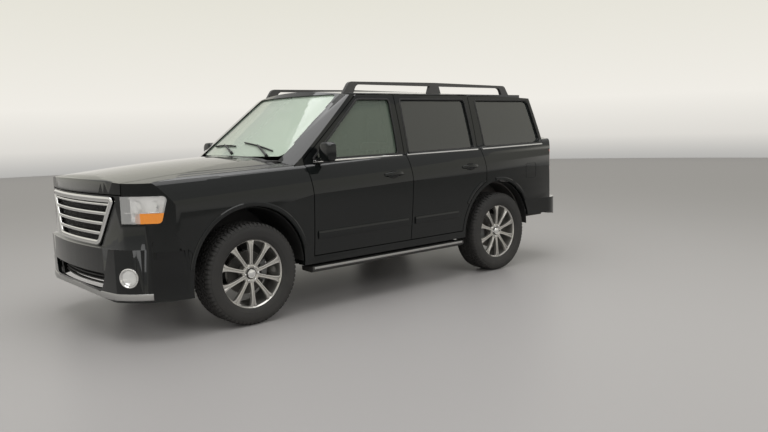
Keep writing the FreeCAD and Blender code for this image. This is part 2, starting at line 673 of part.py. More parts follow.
def make_running_board():
    """Left running board on its brackets from the rocker"""
    y_from = front_axle_y + arch_radius + 60
    y_to = rear_axle_y - arch_radius - 60
    outer_x = half_width - 2
    board = prism("xz", y_from, y_to, [
        (outer_x - 165, 372, 0), (outer_x - 165, 336, 12), (outer_x - 20, 330, 18), (outer_x, 352, 12),
        (outer_x - 6, 378, 8)])
    for y in (y_from + 160, (y_from + y_to) / 2, y_to - 160):
        bracket = prism("xz", y - 22, y + 22, [
            (outer_x - 152, size("sill_height") - seam, 0), (outer_x - 186, size("sill_height") - seam, 0),
            (outer_x - 186, 346, 0), (outer_x - 110, 346, 0), (outer_x - 110, 370, 0),
            (outer_x - 152, 374, 0)])
        board = board.fuse(bracket)
    return board.removeSplitter()


def greenhouse_x(z):
    """Half width of the upper body's side at a height"""
    side = arc_edge([Vector(x, 0, level) for x, level in greenhouse_side(0)]).Curve
    return side.Center.x + math.sqrt(side.Radius ** 2 - (z - side.Center.z) ** 2)


def make_mirror():
    """Left door mirror on its arm"""
    housing_y = front_door_y + 92
    outer_x = half_width + size("mirror_reach")
    inner_x = outer_x - size("mirror_length")
    housing = prism("yz", inner_x, outer_x, [
        (housing_y, 1246, 24), (housing_y + 78, 1240, 20),
        (housing_y + 82, 1412, 24), (housing_y + 14, 1404, 30)])
    low, high = 1262, 1304
    arm = prism("xz", housing_y + 20, housing_y + 60, [
        (greenhouse_x(low) + seam, low, 0), (inner_x + 10, low, 0), (inner_x + 10, high, 0),
        (greenhouse_x(high) + seam, high, 0)])
    return housing.fuse(arm).removeSplitter()


# Cabin
HUMP_RISE = 150
HUMP_HALF_LENGTH = 330
HOUSE_INNER_X = wheel_x - 195


def make_floor():
    """Floor pan with a hump over the rear axle and a box over each rear wheel"""
    inner_x = half_width - wall - 52
    sheet_metal = size("floor_thickness")
    z = size("floor_height")
    top = z + sheet_metal
    narrow = HOUSE_INNER_X + 20
    house_reach = arch_radius + 30
    y_from, y_to = rear_axle_y - HUMP_HALF_LENGTH, rear_axle_y + HUMP_HALF_LENGTH
    plate = block(-inner_x, inner_x, CABIN_FRONT + 4, TAIL_Y - 130, z, top)
    plate = plate.cut(block(-FAR, FAR, rear_axle_y - house_reach, rear_axle_y + house_reach, 0, top + 1))
    notch = block(inner_x - 60, FAR, POST_FRONT_Y - seam, POST_REAR_Y + seam, 0, top + 1)
    plate = plate.cut(notch).cut(mirrored(notch))
    centre = block(-narrow, narrow, rear_axle_y - house_reach - 1, rear_axle_y + house_reach + 1, z, top)
    under = block(-narrow - 1, narrow + 1, y_from + sheet_metal, y_to - sheet_metal,
                  z - 1, z + HUMP_RISE - sheet_metal)
    hump = block(-narrow, narrow, y_from, y_to, z, z + HUMP_RISE).cut(under)
    floor = plate.fuse(centre.cut(under)).fuse(hump)
    house_length = half_width - wall - 30 - HOUSE_INNER_X
    across = Vector(1, 0, 0)
    hub = Vector(HOUSE_INNER_X, rear_axle_y, arch_z)
    outer = Part.makeCylinder(arch_radius - 14, house_length, hub, across)
    inner = Part.makeCylinder(arch_radius - 30, house_length, hub + across * 16, across)
    house = outer.cut(inner).common(block(0, FAR, -FAR, FAR, z, FAR))
    floor = floor.fuse(house).fuse(mirrored(house))
    return floor.common(lower_wall.common(block(-FAR, FAR, -FAR, FAR, 0, FAR))).removeSplitter()


def hood_hinge():
    """Left hinge bracket: from the cowl forward and up to the hood's underside, clear of its swing"""
    x_from, x_to = 600, 640
    low, high = 1186, 1212
    reach = hood_rear_y - 125
    foot = block(x_from, x_to, hood_rear_y + 20, hood_rear_y + 50, low, 1262)
    beam = block(x_from, x_to, reach, hood_rear_y + 30, low, high)
    head = block(x_from, x_to, reach, reach + 30, high - 4, 1300)
    return foot.fuse(beam).fuse(head.common(lower_body(skin + seam, skin + seam)))


def make_firewall():
    """Cowl under the windshield's foot, its shelf and the wall between engine and cabin"""
    inner = PILLAR_INNER_X - seam
    cowl = front_shell.common(block(-hood_half, hood_half,
                                    hood_rear_y + gap, COWL_REAR_Y, 1000, FAR))
    cowl = cowl.cut(greenhouse(-3))
    shelf = block(-inner, inner, hood_rear_y + gap + 7, CABIN_FRONT, 1236, 1262)
    upper = block(-inner, inner, CABIN_FRONT - 24, CABIN_FRONT, 1090, 1262)
    panel = block(-half_width, half_width, CABIN_FRONT - 24, CABIN_FRONT, 500, 1100)
    panel = panel.common(lower_body(40, 25))
    panel = panel.cut(arch_cylinder(front_axle_y, 10)).cut(mirrored(arch_cylinder(front_axle_y, 10)))
    hinge = hood_hinge()
    return cowl.fuse([shelf, upper, panel, hinge, mirrored(hinge)]).removeSplitter()


def make_dashboard():
    """Dashboard under the windshield with the console between the front seats"""
    half = half_width - wall - 93
    y = CABIN_FRONT + seam
    roll = prism("yz", -half, half, [
        (y, 880, 0), (y + 230, 770, 60), (y + 420, 900, 70), (y + 400, 1130, 60),
        (y + 180, 1196, 80), (y, 1190, 0)])
    console = prism("yz", -130, 130, [
        (y + 200, 520, 0), (y + 1150, 520, 0), (y + 1140, 800, 40), (y + 560, 770, 60),
        (y + 330, 900, 30), (y + 200, 900, 0)])
    return roll.fuse(console).removeSplitter()


def seat(width, y, z, depth, back_height, lean, base_z, base_depth):
    """One seat or bench: cushion, leaning back and a plinth down to what carries it"""
    half = width / 2
    cushion = prism("yz", -half, half, [
        (y, z, 40), (y + depth, z - 30, 20), (y + depth, z + 110, 20), (y + 20, z + 160, 60)])
    back = prism("yz", -half, half, [
        (y + depth - 150, z + 100, 20), (y + depth + 10, z + 60, 20),
        (y + depth + 10 + lean, z + back_height, 40), (y + depth - 110 + lean, z + back_height, 40)])
    plinth = block(-half + 60, half - 60, y + 90, y + 90 + base_depth, base_z + seam, z + 10)
    return cushion.fuse(back).fuse(plinth).removeSplitter()


def make_seats():
    """Two front seats and two benches"""
    floor_top = size("floor_height") + size("floor_thickness")
    shapes = []
    for side in (-1, 1):
        chair = seat(520, front_door_y + 510, 640, 520, 740, 150, floor_top, 370)
        chair.translate(Vector(side * 400, 0, 0))
        shapes.append(chair)
    bench = 2 * (HOUSE_INNER_X - 6)
    shapes.append(seat(bench, pillar_y + 331, 650, 500, 700, 140, floor_top, 350))
    hump_top = size("floor_height") + HUMP_RISE
    shapes.append(seat(bench - 148, rear_axle_y - 26, 700, 460, 640, 120, hump_top, 250))
    return Part.makeCompound(shapes)


def make_steering_wheel():
    """Steering wheel and its column, leaning towards the driver"""
    centre = Vector(400, CABIN_FRONT + 540, 1040)
    tilt = Vector(0, math.cos(math.radians(24)), math.sin(math.radians(24)))
    ring_section = []
    for corner in range(7):
        turn = math.radians(60 * corner)
        ring_section.append(Vector(182 + 16 * math.cos(turn), 0, 16 * math.sin(turn)))
    rim = Part.Face(Part.makePolygon(ring_section)).revolve(Vector(0, 0, 0), Vector(0, 0, 1), 360)
    rim.rotate(Vector(0, 0, 0), Vector(1, 0, 0), -66)
    rim.translate(centre)
    hub = Part.makeCylinder(62, 40, centre - tilt * 30, tilt)
    column = Part.makeCylinder(30, 170, centre - tilt * 190, tilt)
    spokes = Part.makeBox(364, 24, 44, Vector(-182, -12, -22))
    spokes.rotate(Vector(0, 0, 0), Vector(1, 0, 0), 24)
    spokes.translate(centre - tilt * 6)
    wheel = rim.fuse(hub).fuse(column).fuse(spokes)
    return wheel.cut(make_dashboard()).removeSplitter()


# Parametric pieces: every size is an expression over the sheet
FRONT_AXLE = "(Sizes.front_overhang - Sizes.overall_length / 2)"
REAR_AXLE = "(Sizes.front_overhang + Sizes.wheelbase - Sizes.overall_length / 2)"
WHEEL_PLANE = "Sizes.track_width / 2"
REAR_FLOOR = "(Sizes.floor_height - Sizes.seat_gap)"


def bind(item, **settings):
    """Tie properties to expressions; a place is given as x, y, z"""
    for name, rule in settings.items():
        item.setExpression("Placement.Base." + name if name in ("x", "y", "z") else name, rule)


def box(name, **settings):
    """Block whose sizes and place are expressions"""
    item = doc.addObject("Part::Box", name)
    bind(item, **settings)
    return item


def bar(name, axis, **settings):
    """Round bar along x or y whose sizes and place are expressions"""
    item = doc.addObject("Part::Cylinder", name)
    if axis == "x":
        item.Placement.Rotation = FreeCAD.Rotation(Vector(0, 1, 0), 90)
    if axis == "y":
        item.Placement.Rotation = FreeCAD.Rotation(Vector(1, 0, 0), -90)
    bind(item, **settings)
    return item


def fused(name, items):
    """One piece from overlapping ones"""
    whole = doc.addObject("Part::MultiFuse", name)
    whole.Shapes = items
    return whole


def cut_from(name, base, tool):
    """Base less tool"""
    whole = doc.addObject("Part::Cut", name)
    whole.Base = base
    whole.Tool = tool
    return whole


def reflected(name, source):
    """The same piece on the other side of the car"""
    twin = doc.addObject("Part::Mirroring", name)
    twin.Source = source
    twin.Normal = Vector(1, 0, 0)
    return twin


def number(rule):
    """Value of an expression over the sheet"""
    return float(sheet.evalExpression(rule.replace("Sizes.", "")))


def origin_feature(body, role):
    """Origin plane or axis of a body by its role"""
    for feature in body.Origin.OriginFeatures:
        if feature.Role == role:
            return feature


def loop_sketch(body, name, role, corners):
    """Closed sketch whose corners are pairs of expressions"""
    sketch = body.newObject("Sketcher::SketchObject", name)
    sketch.AttachmentSupport = [(origin_feature(body, role), "")]
    sketch.MapMode = "FlatFace"
    points = [Vector(number(across), number(along), 0) for across, along in corners]
    for index, point in enumerate(points):
        sketch.addGeometry(Part.LineSegment(point, points[(index + 1) % len(points)]), False)
    for index in range(len(points)):
        following = (index + 1) % len(points)
        sketch.addConstraint(Sketcher.Constraint("Coincident", index, 2, following, 1))
    for index, (across, along) in enumerate(corners):
        for kind, rule in (("DistanceX", across), ("DistanceY", along)):
            place = sketch.addConstraint(Sketcher.Constraint(kind, -1, 1, index, 1, number(rule)))
            sketch.setExpression("Constraints[%d]" % place, rule)
    return sketch


def turned_body(name, corners):
    """Body turned about its X axis from a sketch of radius against place"""
    body = doc.addObject("PartDesign::Body", name)
    sketch = loop_sketch(body, name + "_profile", "XY_Plane", corners)
    turn = body.newObject("PartDesign::Revolution", name + "_turn")
    turn.Profile = sketch
    turn.ReferenceAxis = (origin_feature(body, "X_Axis"), [""])
    turn.Angle = 360
    return body


def padded_body(name, role, corners, start, length):
    """Body padded from a sketch that lies off one of its origin planes"""
    body = doc.addObject("PartDesign::Body", name)
    sketch = loop_sketch(body, name + "_profile", role, corners)
    sketch.setExpression("AttachmentOffset.Base.z", start)
    pad = body.newObject("PartDesign::Pad", name + "_pad")
    pad.Profile = sketch
    pad.setExpression("Length", length)
    return body


# Wheels
TYRE_PROFILE = [
    ("-Sizes.tyre_width / 2", "Sizes.rim_radius + Sizes.seat_gap"),
    ("Sizes.tyre_width / 2", "Sizes.rim_radius + Sizes.seat_gap"),
    ("Sizes.tyre_width / 2", "Sizes.tyre_radius"),
    ("-Sizes.tyre_width / 2", "Sizes.tyre_radius"),
]
RIM_PROFILE = [
    ("-Sizes.tyre_width / 2 + 12", "Sizes.rim_radius - 22"),
    ("Sizes.rim_back", "Sizes.rim_radius - 22"),
    ("Sizes.rim_back", "0"),
    ("Sizes.tyre_width / 2 - 20", "0"),
    ("Sizes.tyre_width / 2 - 20", "Sizes.rim_radius"),
    ("-Sizes.tyre_width / 2 + 12", "Sizes.rim_radius"),
]
SPOKE_COUNT = 10
WINDOW_PROFILE = [
    ("Sizes.rim_radius * 0.36", "-Sizes.rim_radius * 0.056"),
    ("Sizes.rim_radius * 0.86", "-Sizes.rim_radius * 0.21"),
    ("Sizes.rim_radius * 0.86", "Sizes.rim_radius * 0.21"),
    ("Sizes.rim_radius * 0.36", "Sizes.rim_radius * 0.056"),
]


def rim_body(name):
    """Rim whose face is opened between the spokes"""
    body = turned_body(name, RIM_PROFILE)
    sketch = loop_sketch(body, name + "_window", "YZ_Plane", WINDOW_PROFILE)
    window = body.newObject("PartDesign::Pocket", name + "_opening")
    window.Profile = sketch
    window.Type = "ThroughAll"
    window.Reversed = True
    pattern = body.newObject("PartDesign::PolarPattern", name + "_openings")
    pattern.Originals = [window]
    pattern.Axis = (origin_feature(body, "X_Axis"), [""])
    pattern.Angle = 360
    pattern.Occurrences = SPOKE_COUNT
    body.Tip = pattern
    return body


WHEEL_PLACES = [("front_left", 1, FRONT_AXLE), ("front_right", -1, FRONT_AXLE),
                ("rear_left", 1, REAR_AXLE), ("rear_right", -1, REAR_AXLE)]
wheels = []
for place, side, axle in WHEEL_PLACES:
    for piece in (turned_body("tyre_" + place, TYRE_PROFILE), rim_body("rim_" + place)):
        if side < 0:
            piece.Placement.Rotation = FreeCAD.Rotation(Vector(0, 0, 1), 180)
        bind(piece, x="%d * %s" % (side, WHEEL_PLANE), y=axle, z="Sizes.tyre_radius")
        wheels.append(piece)

# Steering knuckles: an upright on the kingpin and the wheel's spindle with its brake
knuckle_upright = box("knuckle_upright", Length="56", Width="44",
                      Height="Sizes.arm_spread - Sizes.arm_thickness - 2 * Sizes.seat_gap",
                      x="Sizes.kingpin_x - 28", y=FRONT_AXLE + " - 22",
                      z="Sizes.tyre_radius - (Sizes.arm_spread - Sizes.arm_thickness) / 2 + Sizes.seat_gap")
knuckle_spindle = bar("knuckle_spindle", "x", Radius="44",
                      Height=WHEEL_PLANE + " + Sizes.rim_back - Sizes.seat_gap - Sizes.kingpin_x",
                      x="Sizes.kingpin_x", y=FRONT_AXLE, z="Sizes.tyre_radius")
knuckle_brake = bar("knuckle_brake", "x", Radius="170", Height="34",
                    x=WHEEL_PLANE + " - 20", y=FRONT_AXLE, z="Sizes.tyre_radius")
knuckle_left = fused("knuckle_left", [knuckle_upright, knuckle_spindle, knuckle_brake])
knuckle_right = reflected("knuckle_right", knuckle_left)

# Front suspension: two arms a side between the ladder frame and the knuckle
ARM_PROFILE = [
    ("Sizes.rail_outer + Sizes.seat_gap", FRONT_AXLE + " - 160"),
    ("Sizes.rail_outer + Sizes.seat_gap + 50", FRONT_AXLE + " - 160"),
    ("Sizes.kingpin_x + Sizes.arm_overhang", FRONT_AXLE + " - 30"),
    ("Sizes.kingpin_x + Sizes.arm_overhang", FRONT_AXLE + " + 30"),
    ("Sizes.rail_outer + Sizes.seat_gap + 50", FRONT_AXLE + " + 160"),
    ("Sizes.rail_outer + Sizes.seat_gap", FRONT_AXLE + " + 160"),
]
arms = []
for level, side in (("lower", -1), ("upper", 1)):
    middle = "Sizes.tyre_radius + %d * Sizes.arm_spread / 2" % side
    arms.append(padded_body("arm_" + level, "XY_Plane", ARM_PROFILE, middle + " - Sizes.arm_thickness / 2",
                            "Sizes.arm_thickness"))
strut = doc.addObject("Part::Cylinder", "strut")
bind(strut, Radius="38", Height="Sizes.arm_spread", x="Sizes.rail_outer + 70", y=FRONT_AXLE,
     z="Sizes.tyre_radius - Sizes.arm_spread / 2")
suspension_left = fused("suspension_left", arms + [strut])
suspension_right = reflected("suspension_right", suspension_left)
front_suspension = doc.addObject("Part::Compound", "front_suspension")
front_suspension.Links = [suspension_left, suspension_right]

# Ladder frame
RAIL_END = "(Sizes.overall_length / 2 - 184)"
RAIL_PROFILE = [
    (FRONT_AXLE + " - 825", "Sizes.rail_front_z"),
    (FRONT_AXLE + " - 300", "Sizes.rail_front_z"),
    (FRONT_AXLE + " - 150", "Sizes.rail_front_z + 40"),
    (FRONT_AXLE + " + 240", "Sizes.rail_front_z + 40"),
    (FRONT_AXLE + " + 500", "Sizes.rail_z"),
    (REAR_AXLE + " - 430", "Sizes.rail_z"),
    (REAR_AXLE + " - 200", "Sizes.rail_rear_z"),
    (REAR_AXLE + " + 200", "Sizes.rail_rear_z"),
    (REAR_AXLE + " + 400", "Sizes.rail_z + 30"),
    (RAIL_END, "Sizes.rail_z + 30"),
    (RAIL_END, REAR_FLOOR),
    (REAR_AXLE + " + 306", REAR_FLOOR),
    (REAR_AXLE + " + 200", "Sizes.rail_rear_z + 80"),
    (REAR_AXLE + " - 200", "Sizes.rail_rear_z + 80"),
    (REAR_AXLE + " - 306", REAR_FLOOR),
    (FRONT_AXLE + " + 460", REAR_FLOOR),
    (FRONT_AXLE + " + 240", "Sizes.rail_front_z + 150"),
    (FRONT_AXLE + " - 170", "Sizes.rail_front_z + 150"),
    (FRONT_AXLE + " - 320", "Sizes.rail_front_z + 110"),
    (FRONT_AXLE + " - 825", "Sizes.rail_front_z + 110"),
]
rail_left = padded_body("rail_left", "YZ_Plane", RAIL_PROFILE, "Sizes.rail_outer - Sizes.rail_width",
                        "Sizes.rail_width")
rail_right = reflected("rail_right", rail_left)
CROSS_MEMBERS = [
    ("nose", FRONT_AXLE + " - 770", "Sizes.rail_front_z + 55", "40"),
    ("gearbox", FRONT_AXLE + " + 760", "Sizes.rail_z + 56", "34"),
    ("middle", FRONT_AXLE + " + 1780", "Sizes.rail_z + 56", "34"),
    ("links", REAR_AXLE + " - 520", "Sizes.rail_z + 56", "34"),
]
ladder = [rail_left, rail_right]
for name, y_rule, z_rule, radius in CROSS_MEMBERS:
    ladder.append(bar("cross_" + name, "x", Radius=radius, Height="2 * Sizes.rail_outer - 20",
                      x="10 - Sizes.rail_outer", y=y_rule, z=z_rule))
SUBFRAME_TOP = "Sizes.rail_front_z + 60"
SUBFRAME_FOOT = "Sizes.tyre_radius - Sizes.arm_spread / 2 - 20"
SUBFRAME_INNER = "(Sizes.rail_outer - 46)"
SUBFRAME_PROFILE = [
    ("-Sizes.rail_outer", SUBFRAME_TOP), ("-Sizes.rail_outer", SUBFRAME_FOOT),
    ("Sizes.rail_outer", SUBFRAME_FOOT), ("Sizes.rail_outer", SUBFRAME_TOP),
    (SUBFRAME_INNER, SUBFRAME_TOP), (SUBFRAME_INNER, SUBFRAME_FOOT + " + 50"),
    ("-" + SUBFRAME_INNER, SUBFRAME_FOOT + " + 50"), ("-" + SUBFRAME_INNER, SUBFRAME_TOP),
]
ladder.append(padded_body("subframe", "XZ_Plane", SUBFRAME_PROFILE, "-(" + FRONT_AXLE + " + 110)", "220"))
chassis_frame = fused("chassis_frame", ladder)

# Hitch receiver: a socket for a square shank on its own beam between the rails
RAIL_INNER = "(Sizes.rail_outer - Sizes.rail_width)"
HITCH_OUTER = "(Sizes.hitch_opening + 2 * Sizes.hitch_wall)"
HITCH_END = "(Sizes.overall_length / 2 - 96)"
HITCH_START = "(" + HITCH_END + " - 233)"
hitch_beam = box("hitch_beam", Length="2 * " + RAIL_INNER + " - 2 * Sizes.seat_gap", Width="50", Height="56",
                 x="Sizes.seat_gap - " + RAIL_INNER, y=RAIL_END + " - 65", z="Sizes.hitch_z - 28")
hitch_tube = box("hitch_tube", Length=HITCH_OUTER, Width="233", Height=HITCH_OUTER,
                 x="-" + HITCH_OUTER + " / 2", y=HITCH_START, z="Sizes.hitch_z - " + HITCH_OUTER + " / 2")
hitch_solid = fused("hitch_solid", [hitch_beam, hitch_tube])
hitch_socket = box("hitch_socket", Length="Sizes.hitch_opening", Width="253",
                   Height="Sizes.hitch_opening", x="-Sizes.hitch_opening / 2", y=HITCH_START + " - 10",
                   z="Sizes.hitch_z - Sizes.hitch_opening / 2")
hitch_pin = bar("hitch_pin", "x", Radius="Sizes.hitch_pin_radius", Height=HITCH_OUTER + " + 4",
                x="-" + HITCH_OUTER + " / 2 - 2", y=HITCH_END + " - 64", z="Sizes.hitch_z")
hitch_holes = fused("hitch_holes", [hitch_socket, hitch_pin])
hitch_receiver = cut_from("hitch_receiver", hitch_solid, hitch_holes)

# Engine with its gearbox, on mounts between the rails
ENGINE_PROFILE = [("-240", "430"), ("240", "430"), ("330", "760"), ("330", "900"), ("-330", "900"),
                  ("-330", "760")]
engine_block = padded_body("engine_block", "XZ_Plane", ENGINE_PROFILE, "-(" + FRONT_AXLE + " + 260)", "660")
engine_mounts = box("engine_mounts", Length="2 * " + RAIL_INNER + " - 2 * Sizes.seat_gap", Width="120",
                    Height="50", x="Sizes.seat_gap - " + RAIL_INNER, y=FRONT_AXLE + " - 60",
                    z="Sizes.rail_front_z + 70")
gearbox = box("gearbox", Length="240", Width="470", Height="140",
              x="-120", y=FRONT_AXLE + " + 250", z="310")
engine = fused("engine", [engine_block, engine_mounts, gearbox])

radiator = box("radiator", Length="2 * " + RAIL_INNER + " - 2 * Sizes.seat_gap", Width="60",
               Height="520", x="Sizes.seat_gap - " + RAIL_INNER, y=FRONT_AXLE + " - 680",
               z="Sizes.rail_front_z")

# Fuel tank hung under the floor
TANK_PROFILE = [("120", "300"), ("360", "300"), ("384", "330"), ("384", REAR_FLOOR), ("104", REAR_FLOOR),
                ("104", "330")]
fuel_tank = padded_body("fuel_tank", "XZ_Plane", TANK_PROFILE, "-(" + REAR_AXLE + " - 575)", "530")

# Exhaust: pipe and silencer down the right side
PIPE_START = "(" + FRONT_AXLE + " + 600)"
exhaust_pipe = bar("exhaust_pipe", "y", Radius="22", Height="Sizes.overall_length / 2 - 235 - " + PIPE_START,
                   x="-270", y=PIPE_START, z="312")
SILENCER_PROFILE = [("-360", "286"), ("-190", "286"), ("-170", "310"), ("-170", "366"),
                    ("-190", "390"), ("-360", "390"), ("-380", "366"), ("-380", "310")]
silencer = padded_body("silencer", "XZ_Plane", SILENCER_PROFILE, "-(" + REAR_AXLE + " - 600)", "500")
hanger = box("hanger", Length="60", Width="60", Height=REAR_FLOOR + " - 380",
             x="-300", y=REAR_AXLE + " - 900", z="380")
exhaust = fused("exhaust", [exhaust_pipe, silencer, hanger])

# Rear axle with differential, shaft, springs and links
AXLE_END = "(" + WHEEL_PLANE + " + Sizes.rim_back - Sizes.seat_gap)"
axle_tube = bar("axle_tube", "x", Radius="42", Height="2 * " + AXLE_END,
                x="-" + AXLE_END, y=REAR_AXLE, z="Sizes.tyre_radius")
POT_PROFILE = [("-130 + " + REAR_AXLE, "345"), ("-70 + " + REAR_AXLE, "280"), ("70 + " + REAR_AXLE, "280"),
               ("130 + " + REAR_AXLE, "345"), ("130 + " + REAR_AXLE, "465"), ("70 + " + REAR_AXLE, "530"),
               ("-70 + " + REAR_AXLE, "530"), ("-130 + " + REAR_AXLE, "465")]
differential = padded_body("differential", "YZ_Plane", POT_PROFILE, "-70", "250")
shaft = bar("shaft", "y", Radius="30", Height=REAR_AXLE + " - (" + FRONT_AXLE + " + 722) - 60",
            x="0", y=FRONT_AXLE + " + 722", z="352")
axle_items = [axle_tube, differential, shaft]
for name, side in (("left", 1), ("right", -1)):
    axle_items.append(bar("brake_" + name, "x", Radius="170", Height="34",
                          x="%d * (%s - 3) - 17" % (side, WHEEL_PLANE), y=REAR_AXLE, z="Sizes.tyre_radius"))
    spring = doc.addObject("Part::Cylinder", "spring_" + name)
    bind(spring, Radius="55", Height="Sizes.rail_rear_z - Sizes.seat_gap - Sizes.tyre_radius",
         x="%d * (Sizes.rail_outer - Sizes.rail_width / 2)" % side, y=REAR_AXLE, z="Sizes.tyre_radius")
    axle_items.append(spring)
    axle_items.append(box("link_" + name, Length="40", Width="600", Height="50",
                          x="%d * (Sizes.rail_outer + 60) - 20" % side, y=REAR_AXLE + " - 600",
                          z="Sizes.tyre_radius - 25"))
    axle_items.append(box("link_pin_" + name, Length="62 - Sizes.seat_gap", Width="40", Height="36",
                          x="Sizes.rail_outer + Sizes.seat_gap" if side > 0 else "-Sizes.rail_outer - 62",
                          y=REAR_AXLE + " - 600", z="Sizes.tyre_radius - 18"))
rear_axle = fused("rear_axle", axle_items)

# Spare wheel under the rear floor
spare_wheel = doc.addObject("Part::Cylinder", "spare_wheel")
bind(spare_wheel, Radius="Sizes.tyre_radius - 75", Height="150", x="0", y=REAR_AXLE + " + 470",
     z="Sizes.floor_height - Sizes.seat_gap - 150")

doc.recompute()

# Sub-parts: the panels shaped above, each given its name and its place
PANELS = {
    "front_cover": front_cover,
    "grille": make_grille(),
    "hood": hood,
    "fenders": pair(fender),
    "headlamps": pair(headlamp),
    "marker_lamps": pair(marker_lamp),
    "fog_lamps": pair(fog_lamp()),
    "side_frames": pair(side_frame),
    "roof": roof,
    "roof_rails": make_roof_rails(),
    "windshield": windshield,
    "quarter_windows": pair(quarter_pane),
    "tail_lamps": pair(tail_lamp),
    "rear_bumper": make_rear_bumper(),
    "tailgate": tailgate,
    "tailgate_glass": tailgate_pane,
    "running_boards": pair(make_running_board()),
    "front_door_left": front_door,
    "front_door_right": mirrored(front_door),
    "rear_door_left": rear_door,
    "rear_door_right": mirrored(rear_door),
    "front_glass_left": front_pane,
    "front_glass_right": mirrored(front_pane),
    "rear_glass_left": rear_pane,
    "rear_glass_right": mirrored(rear_pane),
    "mirror_left": make_mirror(),
    "mirror_right": mirrored(make_mirror()),
    "floor": make_floor(),
    "firewall": make_firewall(),
    "dashboard": make_dashboard(),
    "seats": make_seats(),
    "steering_wheel": make_steering_wheel(),
}
sub_parts = wheels + [knuckle_left, knuckle_right, front_suspension, chassis_frame, hitch_receiver,
                      engine, radiator, fuel_tank, exhaust, rear_axle, spare_wheel]
for name, shape in PANELS.items():
    panel = doc.addObject("Part::Feature", name)
    panel.Shape = shape
    panel.Placement = FreeCAD.Placement()
    sub_parts.append(panel)
for sub_part in sub_parts:
    sub_part.Label = sub_part.Name
doc.recompute()

for item in doc.Objects:
    if "Invalid" in item.State or "Error" in item.State:
        raise ValueError("%s did not build" % item.Name)
os.makedirs("parts", exist_ok=True)
for sub_part in sub_parts:
    shape = sub_part.Shape
    if shape.isNull() or not shape.isValid() or not shape.Solids:
        raise ValueError("%s has no sound solid" % sub_part.Name)
    shape.exportStep("parts/%s.step" % sub_part.Name)
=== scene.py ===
import math

import bmesh
import bpy
from mathutils import Matrix, Vector
from mathutils.bvhtree import BVHTree


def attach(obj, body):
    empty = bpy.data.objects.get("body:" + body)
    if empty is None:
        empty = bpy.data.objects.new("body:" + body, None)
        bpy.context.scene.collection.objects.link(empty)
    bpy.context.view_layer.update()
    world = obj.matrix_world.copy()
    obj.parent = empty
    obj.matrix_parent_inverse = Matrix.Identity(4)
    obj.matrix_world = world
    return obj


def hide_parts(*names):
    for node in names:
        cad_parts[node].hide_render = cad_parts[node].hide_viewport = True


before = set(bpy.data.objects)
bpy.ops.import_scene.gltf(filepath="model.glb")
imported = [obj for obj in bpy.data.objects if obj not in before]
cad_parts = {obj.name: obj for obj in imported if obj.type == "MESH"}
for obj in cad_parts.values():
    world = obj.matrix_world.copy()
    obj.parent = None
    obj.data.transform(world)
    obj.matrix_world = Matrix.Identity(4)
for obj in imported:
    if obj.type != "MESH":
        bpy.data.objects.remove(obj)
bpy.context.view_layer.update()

# Places shared with the model, in metres
HALF_TRACK = 0.865
FRONT_AXLE_Y = -1.53
REAR_AXLE_Y = 1.416
WHEEL_Z = 0.405
ARCH_Z = 0.441
ARCH_RADIUS = 0.497
UP = Vector((0, 0, 1))
FORWARD = Vector((0, -1, 0))
BACKWARD = Vector((0, 1, 0))
LEFTWARD = Vector((1, 0, 0))
FAR = 4.0

# Camera: place, heading, tilt and roll in radians, and focal length in pixels of a 768 wide frame
CAMERA_PLACE = Vector((5.852, -4.397, 1.509))
CAMERA_HEADING = 2.426
CAMERA_TILT = 0.121
CAMERA_ROLL = -0.028
FOCAL_PIXELS = 723.4
FRAME_WIDTH = 768
SENSOR_WIDTH = 36.0

# Finishes: dust's colour, the softening of edges and the share of cells in leather's grain
DUST_COLOUR = (0.20, 0.18, 0.15, 1.0)
EDGE_SAMPLES = 4
BUMP_STRENGTH = 0.6
CELL_SHARE = 1.6

# Shader groups
def new_group(name, inputs, outputs):
    """Empty shader group with its sockets: rows of kind, name, value"""
    group = bpy.data.node_groups.new(name, "ShaderNodeTree")
    for kind, socket_name, value in inputs:
        socket = group.interface.new_socket(socket_name, in_out="INPUT", socket_type=kind)
        socket.default_value = value
    for kind, socket_name in outputs:
        group.interface.new_socket(socket_name, in_out="OUTPUT", socket_type=kind)
    return group, group.nodes.new("NodeGroupInput"), group.nodes.new("NodeGroupOutput")


def add_node(tree, kind, **inputs):
    """Adds a shader node and sets its inputs"""
    node = tree.nodes.new(kind)
    for socket_name, value in inputs.items():
        node.inputs[socket_name.replace("_", " ")].default_value = value
    return node


def link(tree, start, output, end, socket):
    """Joins one node's output to another's input"""
    tree.links.new(start.outputs[output], end.inputs[socket])


def relief_group(name, texture_kind, output, **inputs):
    """Relief from one texture on the piece's own coordinates: scale in, height out"""
    group, entry, result = new_group(name, [("NodeSocketFloat", "Scale", 40.0)],
                                     [("NodeSocketFloat", "Height")])
    place = add_node(group, "ShaderNodeTexCoord")
    texture = add_node(group, texture_kind, **inputs)
    link(group, place, "Object", texture, "Vector")
    link(group, entry, "Scale", texture, "Scale")
    link(group, texture, output, result, "Height")
    return group, texture


def grain_group():
    """Fine moulded or coated grain"""
    return relief_group("fine_grain", "ShaderNodeTexNoise", "Fac", Detail=6.0, Roughness=0.6)[0]


def flute_group():
    """Fine upright ribs moulded into a lens"""
    group, wave = relief_group("lens_flutes", "ShaderNodeTexWave", "Fac")
    wave.bands_direction = "X"
    return group


